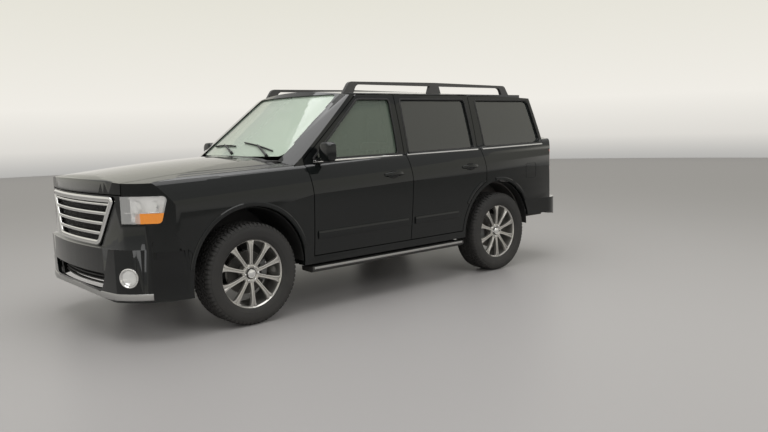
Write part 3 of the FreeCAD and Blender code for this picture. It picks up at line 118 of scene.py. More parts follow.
def leather_group():
    """Grain of creased leather: cells and fine noise together"""
    group, entry, result = new_group("leather_grain", [("NodeSocketFloat", "Scale", 260.0)],
                                     [("NodeSocketFloat", "Height")])
    place = add_node(group, "ShaderNodeTexCoord")
    cells = add_node(group, "ShaderNodeTexVoronoi")
    cells.feature = "DISTANCE_TO_EDGE"
    noise = add_node(group, "ShaderNodeTexNoise", Detail=5.0)
    join = group.nodes.new("ShaderNodeMath")
    join.operation = "MULTIPLY_ADD"
    join.inputs[1].default_value = CELL_SHARE
    for texture in (cells, noise):
        link(group, place, "Object", texture, "Vector")
        link(group, entry, "Scale", texture, "Scale")
    link(group, cells, "Distance", join, 0)
    link(group, noise, "Fac", join, 2)
    link(group, join, 0, result, "Height")
    return group


def tone_group():
    """Uneven tone: a base colour drifts a little towards a second one over the surface"""
    group, entry, result = new_group(
        "uneven_tone",
        [("NodeSocketColor", "Colour", (0.5, 0.5, 0.5, 1.0)),
         ("NodeSocketColor", "Drift colour", (0.4, 0.4, 0.4, 1.0)),
         ("NodeSocketFloat", "Scale", 3.0), ("NodeSocketFloat", "Amount", 0.3)],
        [("NodeSocketColor", "Colour")])
    place = add_node(group, "ShaderNodeTexCoord")
    noise = add_node(group, "ShaderNodeTexNoise", Detail=4.0)
    share = group.nodes.new("ShaderNodeMath")
    share.operation = "MULTIPLY"
    mix = group.nodes.new("ShaderNodeMix")
    mix.data_type = "RGBA"
    link(group, place, "Object", noise, "Vector")
    link(group, entry, "Scale", noise, "Scale")
    link(group, noise, "Fac", share, 0)
    link(group, entry, "Amount", share, 1)
    link(group, share, 0, mix, "Factor")
    link(group, entry, "Colour", mix, "A")
    link(group, entry, "Drift colour", mix, "B")
    link(group, mix, "Result", result, "Colour")
    return group


def dust_group():
    """Road dust: most near the ground, broken up by noise, none above a height"""
    group, entry, result = new_group(
        "road_dust", [("NodeSocketFloat", "Height", 0.5), ("NodeSocketFloat", "Most", 0.3)],
        [("NodeSocketFloat", "Mask")])
    place = add_node(group, "ShaderNodeTexCoord")
    parts = add_node(group, "ShaderNodeSeparateXYZ")
    reach = add_node(group, "ShaderNodeMapRange", From_Min=0.0, To_Max=0.0)
    noise = add_node(group, "ShaderNodeTexNoise", Scale=14.0, Detail=8.0)
    share = group.nodes.new("ShaderNodeMath")
    share.operation = "MULTIPLY"
    for end in (parts, noise):
        link(group, place, "Object", end, "Vector")
    link(group, parts, "Z", reach, "Value")
    link(group, entry, "Height", reach, "From Max")
    link(group, entry, "Most", reach, "To Min")
    link(group, reach, "Result", share, 0)
    link(group, noise, "Fac", share, 1)
    link(group, share, 0, result, "Mask")
    return group


GRAIN = grain_group()
FLUTES = flute_group()
HIDE_GRAIN = leather_group()
TONE = tone_group()
DUST = dust_group()


def add_group(material, group, **values):
    """Places a group in a material with its own values"""
    node = material.node_tree.nodes.new("ShaderNodeGroup")
    node.node_tree = group
    for socket_name, value in values.items():
        node.inputs[socket_name.replace("_", " ")].default_value = value
    return node


def opaque(colour):
    """Colour with full alpha"""
    return (colour[0], colour[1], colour[2], 1.0)


def finish_material(name, colour, drift, roughness, metallic=0.0, coat=0.0, coat_roughness=0.03,
                    tone_scale=3.0, tone_amount=0.35, relief=None, grain_scale=0.0, grain_depth=0.0,
                    dust=0.0, dust_height=0.6, soft_edge=0.0, **sockets):
    """Surface with uneven tone and, where it has any, relief, road dust and softened edges"""
    material = bpy.data.materials.new(name)
    material.use_nodes = True
    tree = material.node_tree
    shader = tree.nodes["Principled BSDF"]
    shader.inputs["Roughness"].default_value = roughness
    shader.inputs["Metallic"].default_value = metallic
    shader.inputs["Coat Weight"].default_value = coat
    shader.inputs["Coat Roughness"].default_value = coat_roughness
    for socket_name, value in sockets.items():
        shader.inputs[socket_name.replace("_", " ")].default_value = value
    tone = add_group(material, TONE, Colour=opaque(colour), Drift_colour=opaque(drift), Scale=tone_scale,
                     Amount=tone_amount)
    colour_end = tone.outputs["Colour"]
    if dust > 0:
        veil = add_group(material, DUST, Height=dust_height, Most=dust)
        mix = tree.nodes.new("ShaderNodeMix")
        mix.data_type = "RGBA"
        mix.inputs["B"].default_value = DUST_COLOUR
        link(tree, veil, "Mask", mix, "Factor")
        tree.links.new(colour_end, mix.inputs["A"])
        colour_end = mix.outputs["Result"]
    tree.links.new(colour_end, shader.inputs["Base Color"])
    edge = None
    if soft_edge > 0:
        edge = tree.nodes.new("ShaderNodeBevel")
        edge.samples = EDGE_SAMPLES
        edge.inputs["Radius"].default_value = soft_edge
        link(tree, edge, "Normal", shader, "Normal")
    if grain_depth > 0:
        grain = add_group(material, relief or GRAIN, Scale=grain_scale)
        bump = tree.nodes.new("ShaderNodeBump")
        bump.inputs["Strength"].default_value = BUMP_STRENGTH
        bump.inputs["Distance"].default_value = grain_depth
        link(tree, grain, "Height", bump, "Height")
        if edge:
            link(tree, edge, "Normal", bump, "Normal")
        link(tree, bump, "Normal", shader, "Normal")
    return material


def glass_material(name, colour, roughness, alpha):
    """Thin glazing: see-through in part, with a tint"""
    material = finish_material(name, colour, [part * 0.8 for part in colour], roughness, coat=1.0,
                               tone_scale=1.5, tone_amount=0.2)
    material.node_tree.nodes["Principled BSDF"].inputs["Alpha"].default_value = alpha
    return material


PAINT = finish_material("black_paint", (0.004, 0.005, 0.005), (0.007, 0.008, 0.008), 0.42, coat=1.0,
                        coat_roughness=0.02, tone_scale=900.0, tone_amount=0.5, dust=0.02, soft_edge=0.0025,
                        Specular_IOR_Level=0.03, Coat_IOR=1.42)
CHROME = finish_material("bright_chrome", (0.80, 0.80, 0.79), (0.70, 0.70, 0.69), 0.09, metallic=1.0,
                         tone_scale=30.0, soft_edge=0.002)
REFLECTOR = finish_material("lamp_reflector", (0.90, 0.90, 0.89), (0.80, 0.80, 0.80), 0.06, metallic=1.0,
                            tone_scale=30.0)
PALE_REFLECTOR = finish_material("pale_reflector", (0.85, 0.84, 0.82), (0.75, 0.74, 0.72), 0.35, metallic=0.2,
                                 tone_scale=30.0)
ALLOY = finish_material("silver_alloy", (0.60, 0.59, 0.56), (0.52, 0.51, 0.48), 0.30, metallic=0.85, coat=0.6,
                        tone_scale=600.0, tone_amount=0.4, dust=0.35, dust_height=1.2, soft_edge=0.002)
SATIN_METAL = finish_material("satin_metal", (0.45, 0.45, 0.44), (0.38, 0.38, 0.37), 0.35, metallic=0.9,
                              tone_scale=40.0, soft_edge=0.001)
DISC_METAL = finish_material("brake_disc_metal", (0.36, 0.35, 0.34), (0.22, 0.19, 0.17), 0.36, metallic=0.9,
                             tone_scale=60.0)
RAIL_METAL = finish_material("dark_rail_metal", (0.060, 0.060, 0.060), (0.085, 0.085, 0.085), 0.40,
                             metallic=0.7, coat=0.4, tone_scale=30.0, soft_edge=0.002)
BLACK_PLASTIC = finish_material("moulded_plastic", (0.020, 0.020, 0.020), (0.030, 0.030, 0.030), 0.55,
                                tone_scale=12.0, grain_scale=900.0, grain_depth=0.0004, dust=0.30,
                                soft_edge=0.0015)
GLOSS_PLASTIC = finish_material("glossy_plastic", (0.012, 0.012, 0.012), (0.018, 0.018, 0.018), 0.22, coat=0.5,
                                tone_scale=20.0)
# Near-black matte: painted shade in the sheets behind the grille and the intake and in the door handle cups,
# and also the real dark seam of the fuel flap
SHADE_AND_SEAM_BLACK = finish_material("unlit_plastic", (0.006, 0.006, 0.006), (0.010, 0.010, 0.010), 0.8, tone_scale=12.0)
RUBBER = finish_material("tyre_rubber", (0.018, 0.018, 0.018), (0.030, 0.029, 0.028), 0.75, tone_scale=9.0,
                         grain_scale=700.0, grain_depth=0.0005, dust=0.12, dust_height=1.0)
SEAL_RUBBER = finish_material("seal_rubber", (0.012, 0.012, 0.012), (0.020, 0.020, 0.020), 0.7, tone_scale=20.0,
                              grain_scale=1200.0, grain_depth=0.0003)
STEEL_BLACK = finish_material("chassis_coating", (0.018, 0.018, 0.018), (0.035, 0.032, 0.030), 0.6,
                              tone_scale=8.0, grain_scale=400.0, grain_depth=0.0006, dust=0.4, dust_height=0.9)
CAST_METAL = finish_material("cast_metal", (0.20, 0.20, 0.20), (0.13, 0.13, 0.13), 0.6, metallic=0.7,
                             tone_scale=14.0, grain_scale=500.0, grain_depth=0.0008)
EXHAUST_METAL = finish_material("exhaust_metal", (0.33, 0.31, 0.28), (0.22, 0.19, 0.16), 0.45, metallic=0.85,
                                tone_scale=6.0)
CABIN_TRIM = finish_material("cabin_trim", (0.050, 0.046, 0.042), (0.070, 0.064, 0.056), 0.62, tone_scale=10.0,
                             grain_scale=1200.0, grain_depth=0.0004, soft_edge=0.003)
PALE_TRIM = finish_material("pale_cabin_trim", (0.30, 0.27, 0.22), (0.24, 0.21, 0.17), 0.6, tone_scale=10.0,
                            grain_scale=1100.0, grain_depth=0.0005, soft_edge=0.003)
HEADLINER = finish_material("headliner_cloth", (0.36, 0.34, 0.30), (0.30, 0.28, 0.25), 0.95, tone_scale=300.0,
                            tone_amount=0.6, grain_scale=2200.0, grain_depth=0.0008, Sheen_Weight=0.2)
CARPET = finish_material("floor_carpet", (0.045, 0.042, 0.040), (0.070, 0.065, 0.060), 0.95, tone_scale=120.0,
                         tone_amount=0.6, grain_scale=1500.0, grain_depth=0.002)
LEATHER = finish_material("seat_leather", (0.27, 0.24, 0.195), (0.20, 0.17, 0.135), 0.46, tone_scale=6.0,
                          relief=HIDE_GRAIN, grain_scale=300.0, grain_depth=0.0008)
SCREEN_GLASS = finish_material("dark_screen", (0.010, 0.012, 0.014), (0.014, 0.016, 0.018), 0.12, coat=1.0,
                               tone_scale=8.0)
DIAL_FACE = finish_material("dial_face", (0.55, 0.56, 0.56), (0.40, 0.41, 0.42), 0.5, tone_scale=30.0)
LAMP_RED = finish_material("red_lens", (0.36, 0.012, 0.012), (0.24, 0.008, 0.008), 0.15, coat=1.0,
                           tone_scale=160.0, relief=FLUTES, grain_scale=24.0, grain_depth=0.001)
LAMP_AMBER = finish_material("amber_lens", (0.80, 0.27, 0.03), (0.65, 0.20, 0.02), 0.15, coat=1.0,
                             tone_scale=160.0, relief=FLUTES, grain_scale=30.0, grain_depth=0.001)
PLATE_PAINT = finish_material("blank_plate", (0.62, 0.62, 0.60), (0.55, 0.55, 0.53), 0.35, coat=0.6,
                              tone_scale=14.0, dust=0.3, dust_height=1.2)
MIRROR_GLASS = finish_material("mirror_glass", (0.75, 0.77, 0.78), (0.70, 0.72, 0.73), 0.03, metallic=1.0,
                               tone_scale=8.0)
GLASS = glass_material("tinted_glass", (0.095, 0.125, 0.095), 0.03, 0.55)
SCREEN_GLAZING = glass_material("windshield_glass", (0.46, 0.55, 0.45), 0.03, 0.62)
GLASS_PRIVACY = glass_material("privacy_glass", (0.010, 0.012, 0.012), 0.03, 0.90)
LAMP_LENS = glass_material("clear_lens", (0.88, 0.88, 0.86), 0.04, 0.34)

NODE_FINISH = {
    "floor": CARPET, "side_frames": PAINT, "roof": PAINT, "fenders": PAINT, "front_cover": PAINT,
    "grille": CHROME, "headlamps": LAMP_LENS, "marker_lamps": LAMP_AMBER, "fog_lamps": LAMP_LENS,
    "rear_bumper": PAINT, "tail_lamps": LAMP_RED, "windshield": SCREEN_GLAZING,
    "quarter_windows": GLASS_PRIVACY, "roof_rails": RAIL_METAL, "running_boards": BLACK_PLASTIC,
    "firewall": BLACK_PLASTIC,
    "dashboard": CABIN_TRIM, "seats": LEATHER, "steering_wheel": CABIN_TRIM, "chassis_frame": STEEL_BLACK,
    "hitch_receiver": STEEL_BLACK, "engine": CAST_METAL, "radiator": SATIN_METAL, "fuel_tank": BLACK_PLASTIC,
    "exhaust": EXHAUST_METAL, "front_suspension": STEEL_BLACK, "rear_axle": STEEL_BLACK, "spare_wheel": RUBBER,
    "hood": PAINT, "tailgate": PAINT, "tailgate_glass": GLASS_PRIVACY,
}
for side in ("left", "right"):
    NODE_FINISH.update({
        "front_door_" + side: PAINT, "rear_door_" + side: PAINT, "front_glass_" + side: GLASS,
        "rear_glass_" + side: GLASS_PRIVACY, "mirror_" + side: PAINT, "knuckle_" + side: STEEL_BLACK,
    })
    for end in ("front", "rear"):
        NODE_FINISH["tyre_%s_%s" % (end, side)] = RUBBER
        NODE_FINISH["rim_%s_%s" % (end, side)] = ALLOY


def dress(node, material):
    """Gives a model node its material"""
    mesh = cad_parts[node].data
    mesh.materials.clear()
    mesh.materials.append(material)


for node_name, node_material in NODE_FINISH.items():
    dress(node_name, node_material)


# Mesh helpers
def loft(shape, rings, capped=True, looped=False):
    """Skin over rings of points that have the same count"""
    rows = [[shape.verts.new(point) for point in ring] for ring in rings]
    pairs = list(zip(rows, rows[1:]))
    if looped:
        pairs.append((rows[-1], rows[0]))
    for low, high in pairs:
        for index in range(len(low)):
            following = (index + 1) % len(low)
            shape.faces.new((low[index], low[following], high[following], high[index]))
    if capped and not looped:
        shape.faces.new(rows[0])
        shape.faces.new(list(reversed(rows[-1])))


def lathe(shape, profile, centre, axis, steps, looped=False):
    """Profile of (along, radius) pairs turned about an axis"""
    ahead = Vector(axis).normalized()
    across = ahead.cross(UP if abs(ahead.z) < 0.9 else FORWARD).normalized()
    upward = across.cross(ahead)
    rings = []
    for along, radius in profile:
        ring = []
        for step in range(steps):
            turn = math.tau * step / steps
            out = across * math.cos(turn) + upward * math.sin(turn)
            ring.append(Vector(centre) + ahead * along + out * radius)
        rings.append(ring)
    loft(shape, rings, capped=False, looped=looped)


def rounded(width, height, radius, steps=3):
    """Outline of a rectangle with rounded corners about the origin"""
    points = []
    for x_sign, y_sign, start in ((1, 1, 0), (-1, 1, 1), (-1, -1, 2), (1, -1, 3)):
        for step in range(steps + 1):
            turn = (start + step / steps) * math.pi / 2
            points.append((x_sign * (width / 2 - radius) + radius * math.cos(turn),
                           y_sign * (height / 2 - radius) + radius * math.sin(turn)))
    return points


def sweep(shape, path, outs, section, closed=False, taper=None):
    """Section of (across, out) pairs carried along a path with an outward direction at each point"""
    rings = []
    count = len(path)
    for index, point in enumerate(path):
        before = path[index - 1] if closed or index > 0 else point
        after = path[(index + 1) % count] if closed or index < count - 1 else point
        ahead = (after - before).normalized()
        across = ahead.cross(outs[index]).normalized()
        out = across.cross(ahead).normalized()
        share = taper[index] if taper else 1.0
        rings.append([point + across * a * share + out * o * share for a, o in section])
    loft(shape, rings, capped=not closed, looped=closed)


def spaced(corners, spacing, closed=False):
    """Points along straight runs between corners, no further apart than the spacing"""
    points = []
    ends = corners[1:] + ([corners[0]] if closed else [])
    for start, end in zip(corners, ends):
        start, end = Vector(start), Vector(end)
        parts = max(1, math.ceil((end - start).length / spacing))
        points += [start.lerp(end, step / parts) for step in range(parts)]
    if not closed:
        points.append(Vector(corners[-1]))
    return points


def rounded_corners(corners, radius, steps=5):
    """Closed outline in two dimensions with every corner turned into an arc"""
    points = []
    for index, corner in enumerate(corners):
        here = Vector(corner)
        back = (Vector(corners[index - 1]) - here).normalized()
        ahead = (Vector(corners[(index + 1) % len(corners)]) - here).normalized()
        for step in range(steps + 1):
            share = step / steps
            start, end = here + back * radius, here + ahead * radius
            points.append(tuple(start.lerp(here, share).lerp(here.lerp(end, share), share)))
    return points


def slab(shape, low, high, radius=0.004):
    """Rounded block between two corners"""
    low, high = Vector(low), Vector(high)
    size = high - low
    middle = (low + high) / 2
    radius = min(radius, min(size) * 0.45)
    ring = rounded(size.x, size.y, radius)
    inner = rounded(size.x - radius * 1.2, size.y - radius * 1.2, radius * 0.6)
    rings = []
    for outline, z in ((inner, low.z), (ring, low.z + radius * 0.7), (ring, high.z - radius * 0.7),
                       (inner, high.z)):
        rings.append([Vector((middle.x + x, middle.y + y, z)) for x, y in outline])
    loft(shape, rings)


def solid_mesh(name, shape):
    """Finished mesh from a working shape: doubles merged, faces outward"""
    bmesh.ops.remove_doubles(shape, verts=shape.verts, dist=0.00002)
    bmesh.ops.recalc_face_normals(shape, faces=shape.faces)
    mesh = bpy.data.meshes.new(name)
    shape.to_mesh(mesh)
    shape.free()
    return mesh


def joined(name, *meshes):
    """One mesh from several"""
    shape = bmesh.new()
    for mesh in meshes:
        shape.from_mesh(mesh)
    mesh = bpy.data.meshes.new(name)
    shape.to_mesh(mesh)
    shape.free()
    return mesh


def piece(name, mesh, body, material, replaced=(), sharp=32):
    """Places a finished mesh on its body with its finish"""
    mesh.materials.clear()
    mesh.materials.append(material)
    mesh.polygons.foreach_set("use_smooth", [True] * len(mesh.polygons))
    mesh.polygons.foreach_set("material_index", [0] * len(mesh.polygons))
    mesh.set_sharp_from_angle(angle=math.radians(sharp))
    item = bpy.data.objects.new(name, mesh)
    bpy.context.scene.collection.objects.link(item)
    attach(item, body)
    if replaced:
        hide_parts(*replaced)
    return item


def made(name, shape, body, material, replaced=(), sharp=32):
    """Piece straight from a working shape"""
    return piece(name, solid_mesh(name, shape), body, material, replaced, sharp)


def block_mesh(name, low, high, radius):
    """Mesh of one rounded block"""
    shape = bmesh.new()
    slab(shape, low, high, radius)
    return solid_mesh(name, shape)


def block_piece(name, low, high, radius, body, material):
    """Rounded block as a piece"""
    shape = bmesh.new()
    slab(shape, low, high, radius)
    return made(name, shape, body, material)


def turned_piece(name, profile, centre, axis, steps, body, material, sharp=32, looped=False):
    """Piece turned about an axis"""
    shape = bmesh.new()
    lathe(shape, profile, centre, axis, steps, looped)
    return made(name, shape, body, material, (), sharp)


def merged_copy(node):
    """Closed copy of a model node's mesh"""
    shape = bmesh.new()
    shape.from_mesh(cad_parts[node].data)
    bmesh.ops.remove_doubles(shape, verts=shape.verts, dist=0.00005)
    bmesh.ops.dissolve_degenerate(shape, edges=shape.edges, dist=0.00002)
    mesh = bpy.data.meshes.new(node + "_skin")
    shape.to_mesh(mesh)
    shape.free()
    return mesh


def refined(node, body, sharp=24):
    """Smooth-shaded skin that takes a node's place"""
    return piece(node + "_skin", merged_copy(node), body, NODE_FINISH[node], (node,), sharp)


def skin_tree(*nodes):
    """Search tree over nodes' surfaces"""
    points, faces = [], []
    for node in nodes:
        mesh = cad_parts[node].data
        start = len(points)
        points += [vertex.co.copy() for vertex in mesh.vertices]
        faces += [[start + index for index in polygon.vertices] for polygon in mesh.polygons]
    return BVHTree.FromPolygons(points, faces)


def landings(tree, starts, direction):
    """Place and normal of each ray that meets a surface"""
    hits = [tree.ray_cast(start, direction)[:2] for start in starts]
    return [hit for hit in hits if hit[0] is not None]


def laid_on(tree, starts, direction, lift=0.0):
    """Points and smoothed outward directions where rays meet a surface"""
    places, outs = [], []
    for place, normal in landings(tree, starts, direction):
        if normal.dot(direction) > -0.25:
            normal = outs[-1] if outs else -direction
        places.append(place + normal * lift)
        outs.append(normal)
    smoothed = []
    for index in range(len(outs)):
        near = outs[max(0, index - 2):index + 3]
        smoothed.append(sum(near, Vector()).normalized())
    return places, smoothed


def side_starts(points, sign):
    """Ray starts off one flank for (y, z) pairs"""
    return [Vector((sign * FAR, y, z)) for y, z in points]


def end_starts(low_x, high_x, z, spacing, end, sign=1):
    """Ray starts off the nose or the tail, from one place across to another"""
    return [Vector((sign * point.x, end * FAR, z)) for point in spaced([(low_x, 0), (high_x, 0)], spacing)]


# Geometry Nodes trees: copies round an axle, and copies in a row
def copies_tree(name, kind, socket_name):
    """Start of a tree that copies the shape it is given, with one input of its own"""
    tree = bpy.data.node_groups.new(name, "GeometryNodeTree")
    tree.interface.new_socket("Shape", in_out="INPUT", socket_type="NodeSocketGeometry")
    tree.interface.new_socket("Count", in_out="INPUT", socket_type="NodeSocketInt")
    tree.interface.new_socket(socket_name, in_out="INPUT", socket_type=kind)
    tree.interface.new_socket("Finish", in_out="INPUT", socket_type="NodeSocketMaterial")
    tree.interface.new_socket("Copies", in_out="OUTPUT", socket_type="NodeSocketGeometry")
    entry = tree.nodes.new("NodeGroupInput")
    result = tree.nodes.new("NodeGroupOutput")
    points = tree.nodes.new("GeometryNodePoints")
    order = tree.nodes.new("GeometryNodeInputIndex")
    instances = tree.nodes.new("GeometryNodeInstanceOnPoints")
    real = tree.nodes.new("GeometryNodeRealizeInstances")
    finish = tree.nodes.new("GeometryNodeSetMaterial")
    link(tree, entry, "Count", points, "Count")
    link(tree, points, 0, instances, "Points")
    link(tree, entry, "Shape", instances, "Instance")
    link(tree, instances, "Instances", real, 0)
    link(tree, real, 0, finish, "Geometry")
    link(tree, entry, "Finish", finish, "Material")
    link(tree, finish, 0, result, "Copies")
    return tree, entry, points, order, instances


def ring_tree():
    """Copies turned evenly about the X axis"""
    tree, entry, _, order, instances = copies_tree("ring_about_axle", "NodeSocketFloat", "Start angle")
    step = tree.nodes.new("ShaderNodeMath")
    step.operation = "DIVIDE"
    step.inputs[0].default_value = math.tau
    angle = tree.nodes.new("ShaderNodeMath")
    angle.operation = "MULTIPLY_ADD"
    turn = tree.nodes.new("ShaderNodeCombineXYZ")
    rotation = tree.nodes.new("FunctionNodeEulerToRotation")
    link(tree, entry, "Count", step, 1)
    link(tree, order, 0, angle, 0)
    link(tree, step, 0, angle, 1)
    link(tree, entry, "Start angle", angle, 2)
    link(tree, angle, 0, turn, "X")
    link(tree, turn, 0, rotation, 0)
    link(tree, rotation, 0, instances, "Rotation")
    return tree


def row_tree():
    """Copies in a straight row, each moved by the same step"""
    tree, entry, points, order, _ = copies_tree("row_of_copies", "NodeSocketVector", "Step")
    move = tree.nodes.new("ShaderNodeVectorMath")
    move.operation = "SCALE"
    link(tree, entry, "Step", move, 0)
    link(tree, order, 0, move, "Scale")
    link(tree, move, 0, points, "Position")
    return tree


RING = ring_tree()
ROW = row_tree()


def copied(mesh, tree, **values):
    """Plain mesh of a tree's copies of a shape"""
    maker = bpy.data.objects.new("copies", mesh)
    bpy.context.scene.collection.objects.link(maker)
    modifier = maker.modifiers.new("copies", "NODES")
    modifier.node_group = tree
    for item in tree.interface.items_tree:
        if item.in_out == "INPUT" and item.name.replace(" ", "_") in values:
            modifier[item.identifier] = values[item.name.replace(" ", "_")]
    result = bpy.data.meshes.new_from_object(maker.evaluated_get(bpy.context.evaluated_depsgraph_get()))
    maker.modifiers.clear()
    bpy.data.objects.remove(maker)
    return result


def moved(mesh, place, sign=1):
    """Copy of a mesh at a place, mirrored across X where the sign is negative"""
    shape = bmesh.new()
    shape.from_mesh(mesh)
    for vertex in shape.verts:
        vertex.co = Vector((vertex.co.x * sign, vertex.co.y, vertex.co.z)) + Vector(place)
    if sign < 0:
        bmesh.ops.reverse_faces(shape, faces=shape.faces)
    result = bpy.data.meshes.new(mesh.name)
    shape.to_mesh(result)
    shape.free()
    return result


# Wheels
TREAD_BLOCKS = 68
SPOKES = 10
LUG_NUTS = 6
SHOULDER_HALF_LENGTH = 0.0125
DISC_X = 0.862


def tyre_mesh():
    """Tyre about the X axis at the origin, its outer side towards +X"""
    half = [(0.1000, 0.2690), (0.1160, 0.2720), (0.1270, 0.2880), (0.1300, 0.2985), (0.1318, 0.3000),
            (0.1345, 0.3150), (0.1370, 0.3380), (0.1352, 0.3590), (0.1320, 0.3700), (0.1300, 0.3712),
            (0.1260, 0.3800), (0.1180, 0.3890), (0.1040, 0.3945), (0.0600, 0.3975), (0.0, 0.3980)]
    profile = half + [(-along, radius) for along, radius in reversed(half[:-1])]
    shape = bmesh.new()
    lathe(shape, profile, (0, 0, 0), (1, 0, 0), 96, looped=True)
    carcass = solid_mesh("tyre", shape)
    rows = []
    for middle, width, slant, start in ((-0.062, 0.030, 0.006, 0.0), (-0.021, 0.032, -0.006, 0.5),
                                        (0.021, 0.032, 0.006, 0.0), (0.062, 0.030, -0.006, 0.5)):
        rows.append(copied(tread_block(middle, width, slant), RING, Count=TREAD_BLOCKS,
                           Start_angle=start * math.tau / TREAD_BLOCKS, Finish=RUBBER))
    for sign in (1, -1):
        rows.append(copied(shoulder_block(sign), RING, Count=TREAD_BLOCKS, Start_angle=0.0, Finish=RUBBER))
    return joined("tyre", carcass, *rows)


def tread_block(middle, width, slant):
    """One block of the tread at the top of the tyre"""
    shape = bmesh.new()
    rings = []
    for radius, share in ((0.3965, 1.0), (0.4032, 0.96), (0.4045, 0.88)):
        length = 0.0135 * share
        half = width / 2 * share
        rings.append([Vector((middle + half, slant - length, radius)),
                      Vector((middle + half, slant + length, radius)),
                      Vector((middle - half, length - slant, radius)),
                      Vector((middle - half, -length - slant, radius))])
    loft(shape, rings)
    return solid_mesh("tread_block", shape)


def shoulder_block(sign):
    """One block where the tread turns into the sidewall"""
    shape = bmesh.new()
    rings = []
    for along, low, high in ((0.084, 0.394, 0.4045), (0.108, 0.391, 0.4015), (0.122, 0.382, 0.3925),
                             (0.1305, 0.3735, 0.3765)):
        rings.append([Vector((along * sign, share * SHOULDER_HALF_LENGTH, z)) for share, z in
                      ((-1, low), (1, low), (0.92, high), (-0.92, high))])
    loft(shape, rings)
    return solid_mesh("shoulder_block", shape)


def spoke_mesh():
    """One grooved spoke, upright, its face towards +X"""
    shape = bmesh.new()
    rings = []
    for radius, half, face, depth in ((0.050, 0.0165, 0.086, 0.040), (0.085, 0.0150, 0.093, 0.036),
                                      (0.130, 0.0140, 0.099, 0.032), (0.180, 0.0155, 0.103, 0.030),
                                      (0.220, 0.0190, 0.104, 0.028), (0.248, 0.0260, 0.103, 0.028),
                                      (0.266, 0.0400, 0.100, 0.026)):
        edge = ((-1.0, -depth), (-1.06, -0.010), (-0.92, -0.002), (-0.62, 0.0), (-0.34, -0.001),
                (-0.18, -0.006))
        section = edge + tuple((-across, out) for across, out in reversed(edge))
        rings.append([Vector((face + out, across * half, radius)) for across, out in section])
    loft(shape, rings)
    return solid_mesh("spoke", shape)


def rim_mesh():
    """Alloy wheel about the X axis at the origin, its face towards +X"""
    shape = bmesh.new()
    lathe(shape, [(0.1165, 0.2870), (0.1170, 0.2800), (0.1120, 0.2745), (0.1030, 0.2680), (0.0960, 0.2600),
                  (0.0700, 0.2540), (-0.0900, 0.2480), (-0.1120, 0.2660), (-0.1170, 0.2800), (-0.1165, 0.2870),
                  (-0.1090, 0.2830), (-0.0980, 0.2640), (0.0900, 0.2660), (0.1080, 0.2800)],
          (0, 0, 0), (1, 0, 0), 96, looped=True)
    lathe(shape, [(0.040, 0.0), (0.040, 0.080), (0.078, 0.078), (0.088, 0.070), (0.090, 0.060), (0.084, 0.052),
                  (0.082, 0.042), (0.084, 0.038), (0.084, 0.0)], (0, 0, 0), (1, 0, 0), 48)
    barrel = solid_mesh("rim", shape)
    spokes = copied(spoke_mesh(), RING, Count=SPOKES, Start_angle=0.0, Finish=ALLOY)
    return joined("rim", barrel, spokes)


def hub_trim_mesh():
    """Centre cap and lug nuts"""
    shape = bmesh.new()
    lathe(shape, [(0.080, 0.0365), (0.092, 0.0360), (0.0965, 0.0330), (0.0955, 0.0290), (0.0990, 0.0180),
                  (0.1005, 0.0)], (0, 0, 0), (1, 0, 0), 40)
    cap = solid_mesh("hub_trim", shape)
    nut = bmesh.new()
    lathe(nut, [(0.080, 0.0100), (0.096, 0.0095), (0.099, 0.0070), (0.100, 0.0)], (0, 0, 0.0570), (1, 0, 0), 6)
    nuts = copied(solid_mesh("nut", nut), RING, Count=LUG_NUTS, Start_angle=math.tau / 12, Finish=CHROME)
    return joined("hub_trim", cap, nuts)


def caliper_mesh(ahead):
    """Brake caliper over the disc, in front of the axle or behind it"""
    shape = bmesh.new()
    path, outs = [], []
    for step in range(9):
        turn = math.radians(-30 + step * 7.5)
        out = Vector((0, ahead * math.cos(turn), math.sin(turn)))
        path.append(out * 0.150)
        outs.append(out)
    sweep(shape, path, outs, rounded(0.072, 0.060, 0.014))
    return solid_mesh("caliper", shape)


def wheels():
    """Tyres, rims, centre caps, discs and calipers at the four corners"""
    tyre, rim, hub = tyre_mesh(), rim_mesh(), hub_trim_mesh()
    disc = bmesh.new()
    lathe(disc, [(-0.014, 0.080), (-0.014, 0.172), (-0.003, 0.1735), (0.003, 0.1735), (0.014, 0.172),
                 (0.014, 0.080), (0.030, 0.076), (0.034, 0.070), (0.034, 0.0)], (0, 0, 0), (1, 0, 0), 64)
    disc = solid_mesh("brake_disc", disc)
    for side, sign in (("left", 1), ("right", -1)):
        for end, axle_y in (("front", FRONT_AXLE_Y), ("rear", REAR_AXLE_Y)):
            body = "wheel_%s_%s" % (end, side)
            corner = "%s_%s" % (end, side)
            centre = (sign * HALF_TRACK, axle_y, WHEEL_Z)
            disc_centre = (sign * DISC_X, axle_y, WHEEL_Z)
            carrier = "knuckle_" + side if end == "front" else "car_body"
            piece("tyre_tread_" + corner, moved(tyre, centre, sign), body, RUBBER,
                  ("tyre_" + corner,), 28)
            piece("rim_spokes_" + corner, moved(rim, centre, sign), body, ALLOY,
                  ("rim_" + corner,), 30)
            piece("hub_trim_" + corner, moved(hub, centre, sign), body, CHROME, (), 30)
            piece("brake_disc_" + corner, moved(disc, disc_centre, sign), carrier, DISC_METAL,
                  (), 30)
            ahead = 1 if end == "front" else -1
            piece("brake_caliper_" + corner, moved(caliper_mesh(ahead), disc_centre, sign), carrier, CAST_METAL,
                  (), 30)


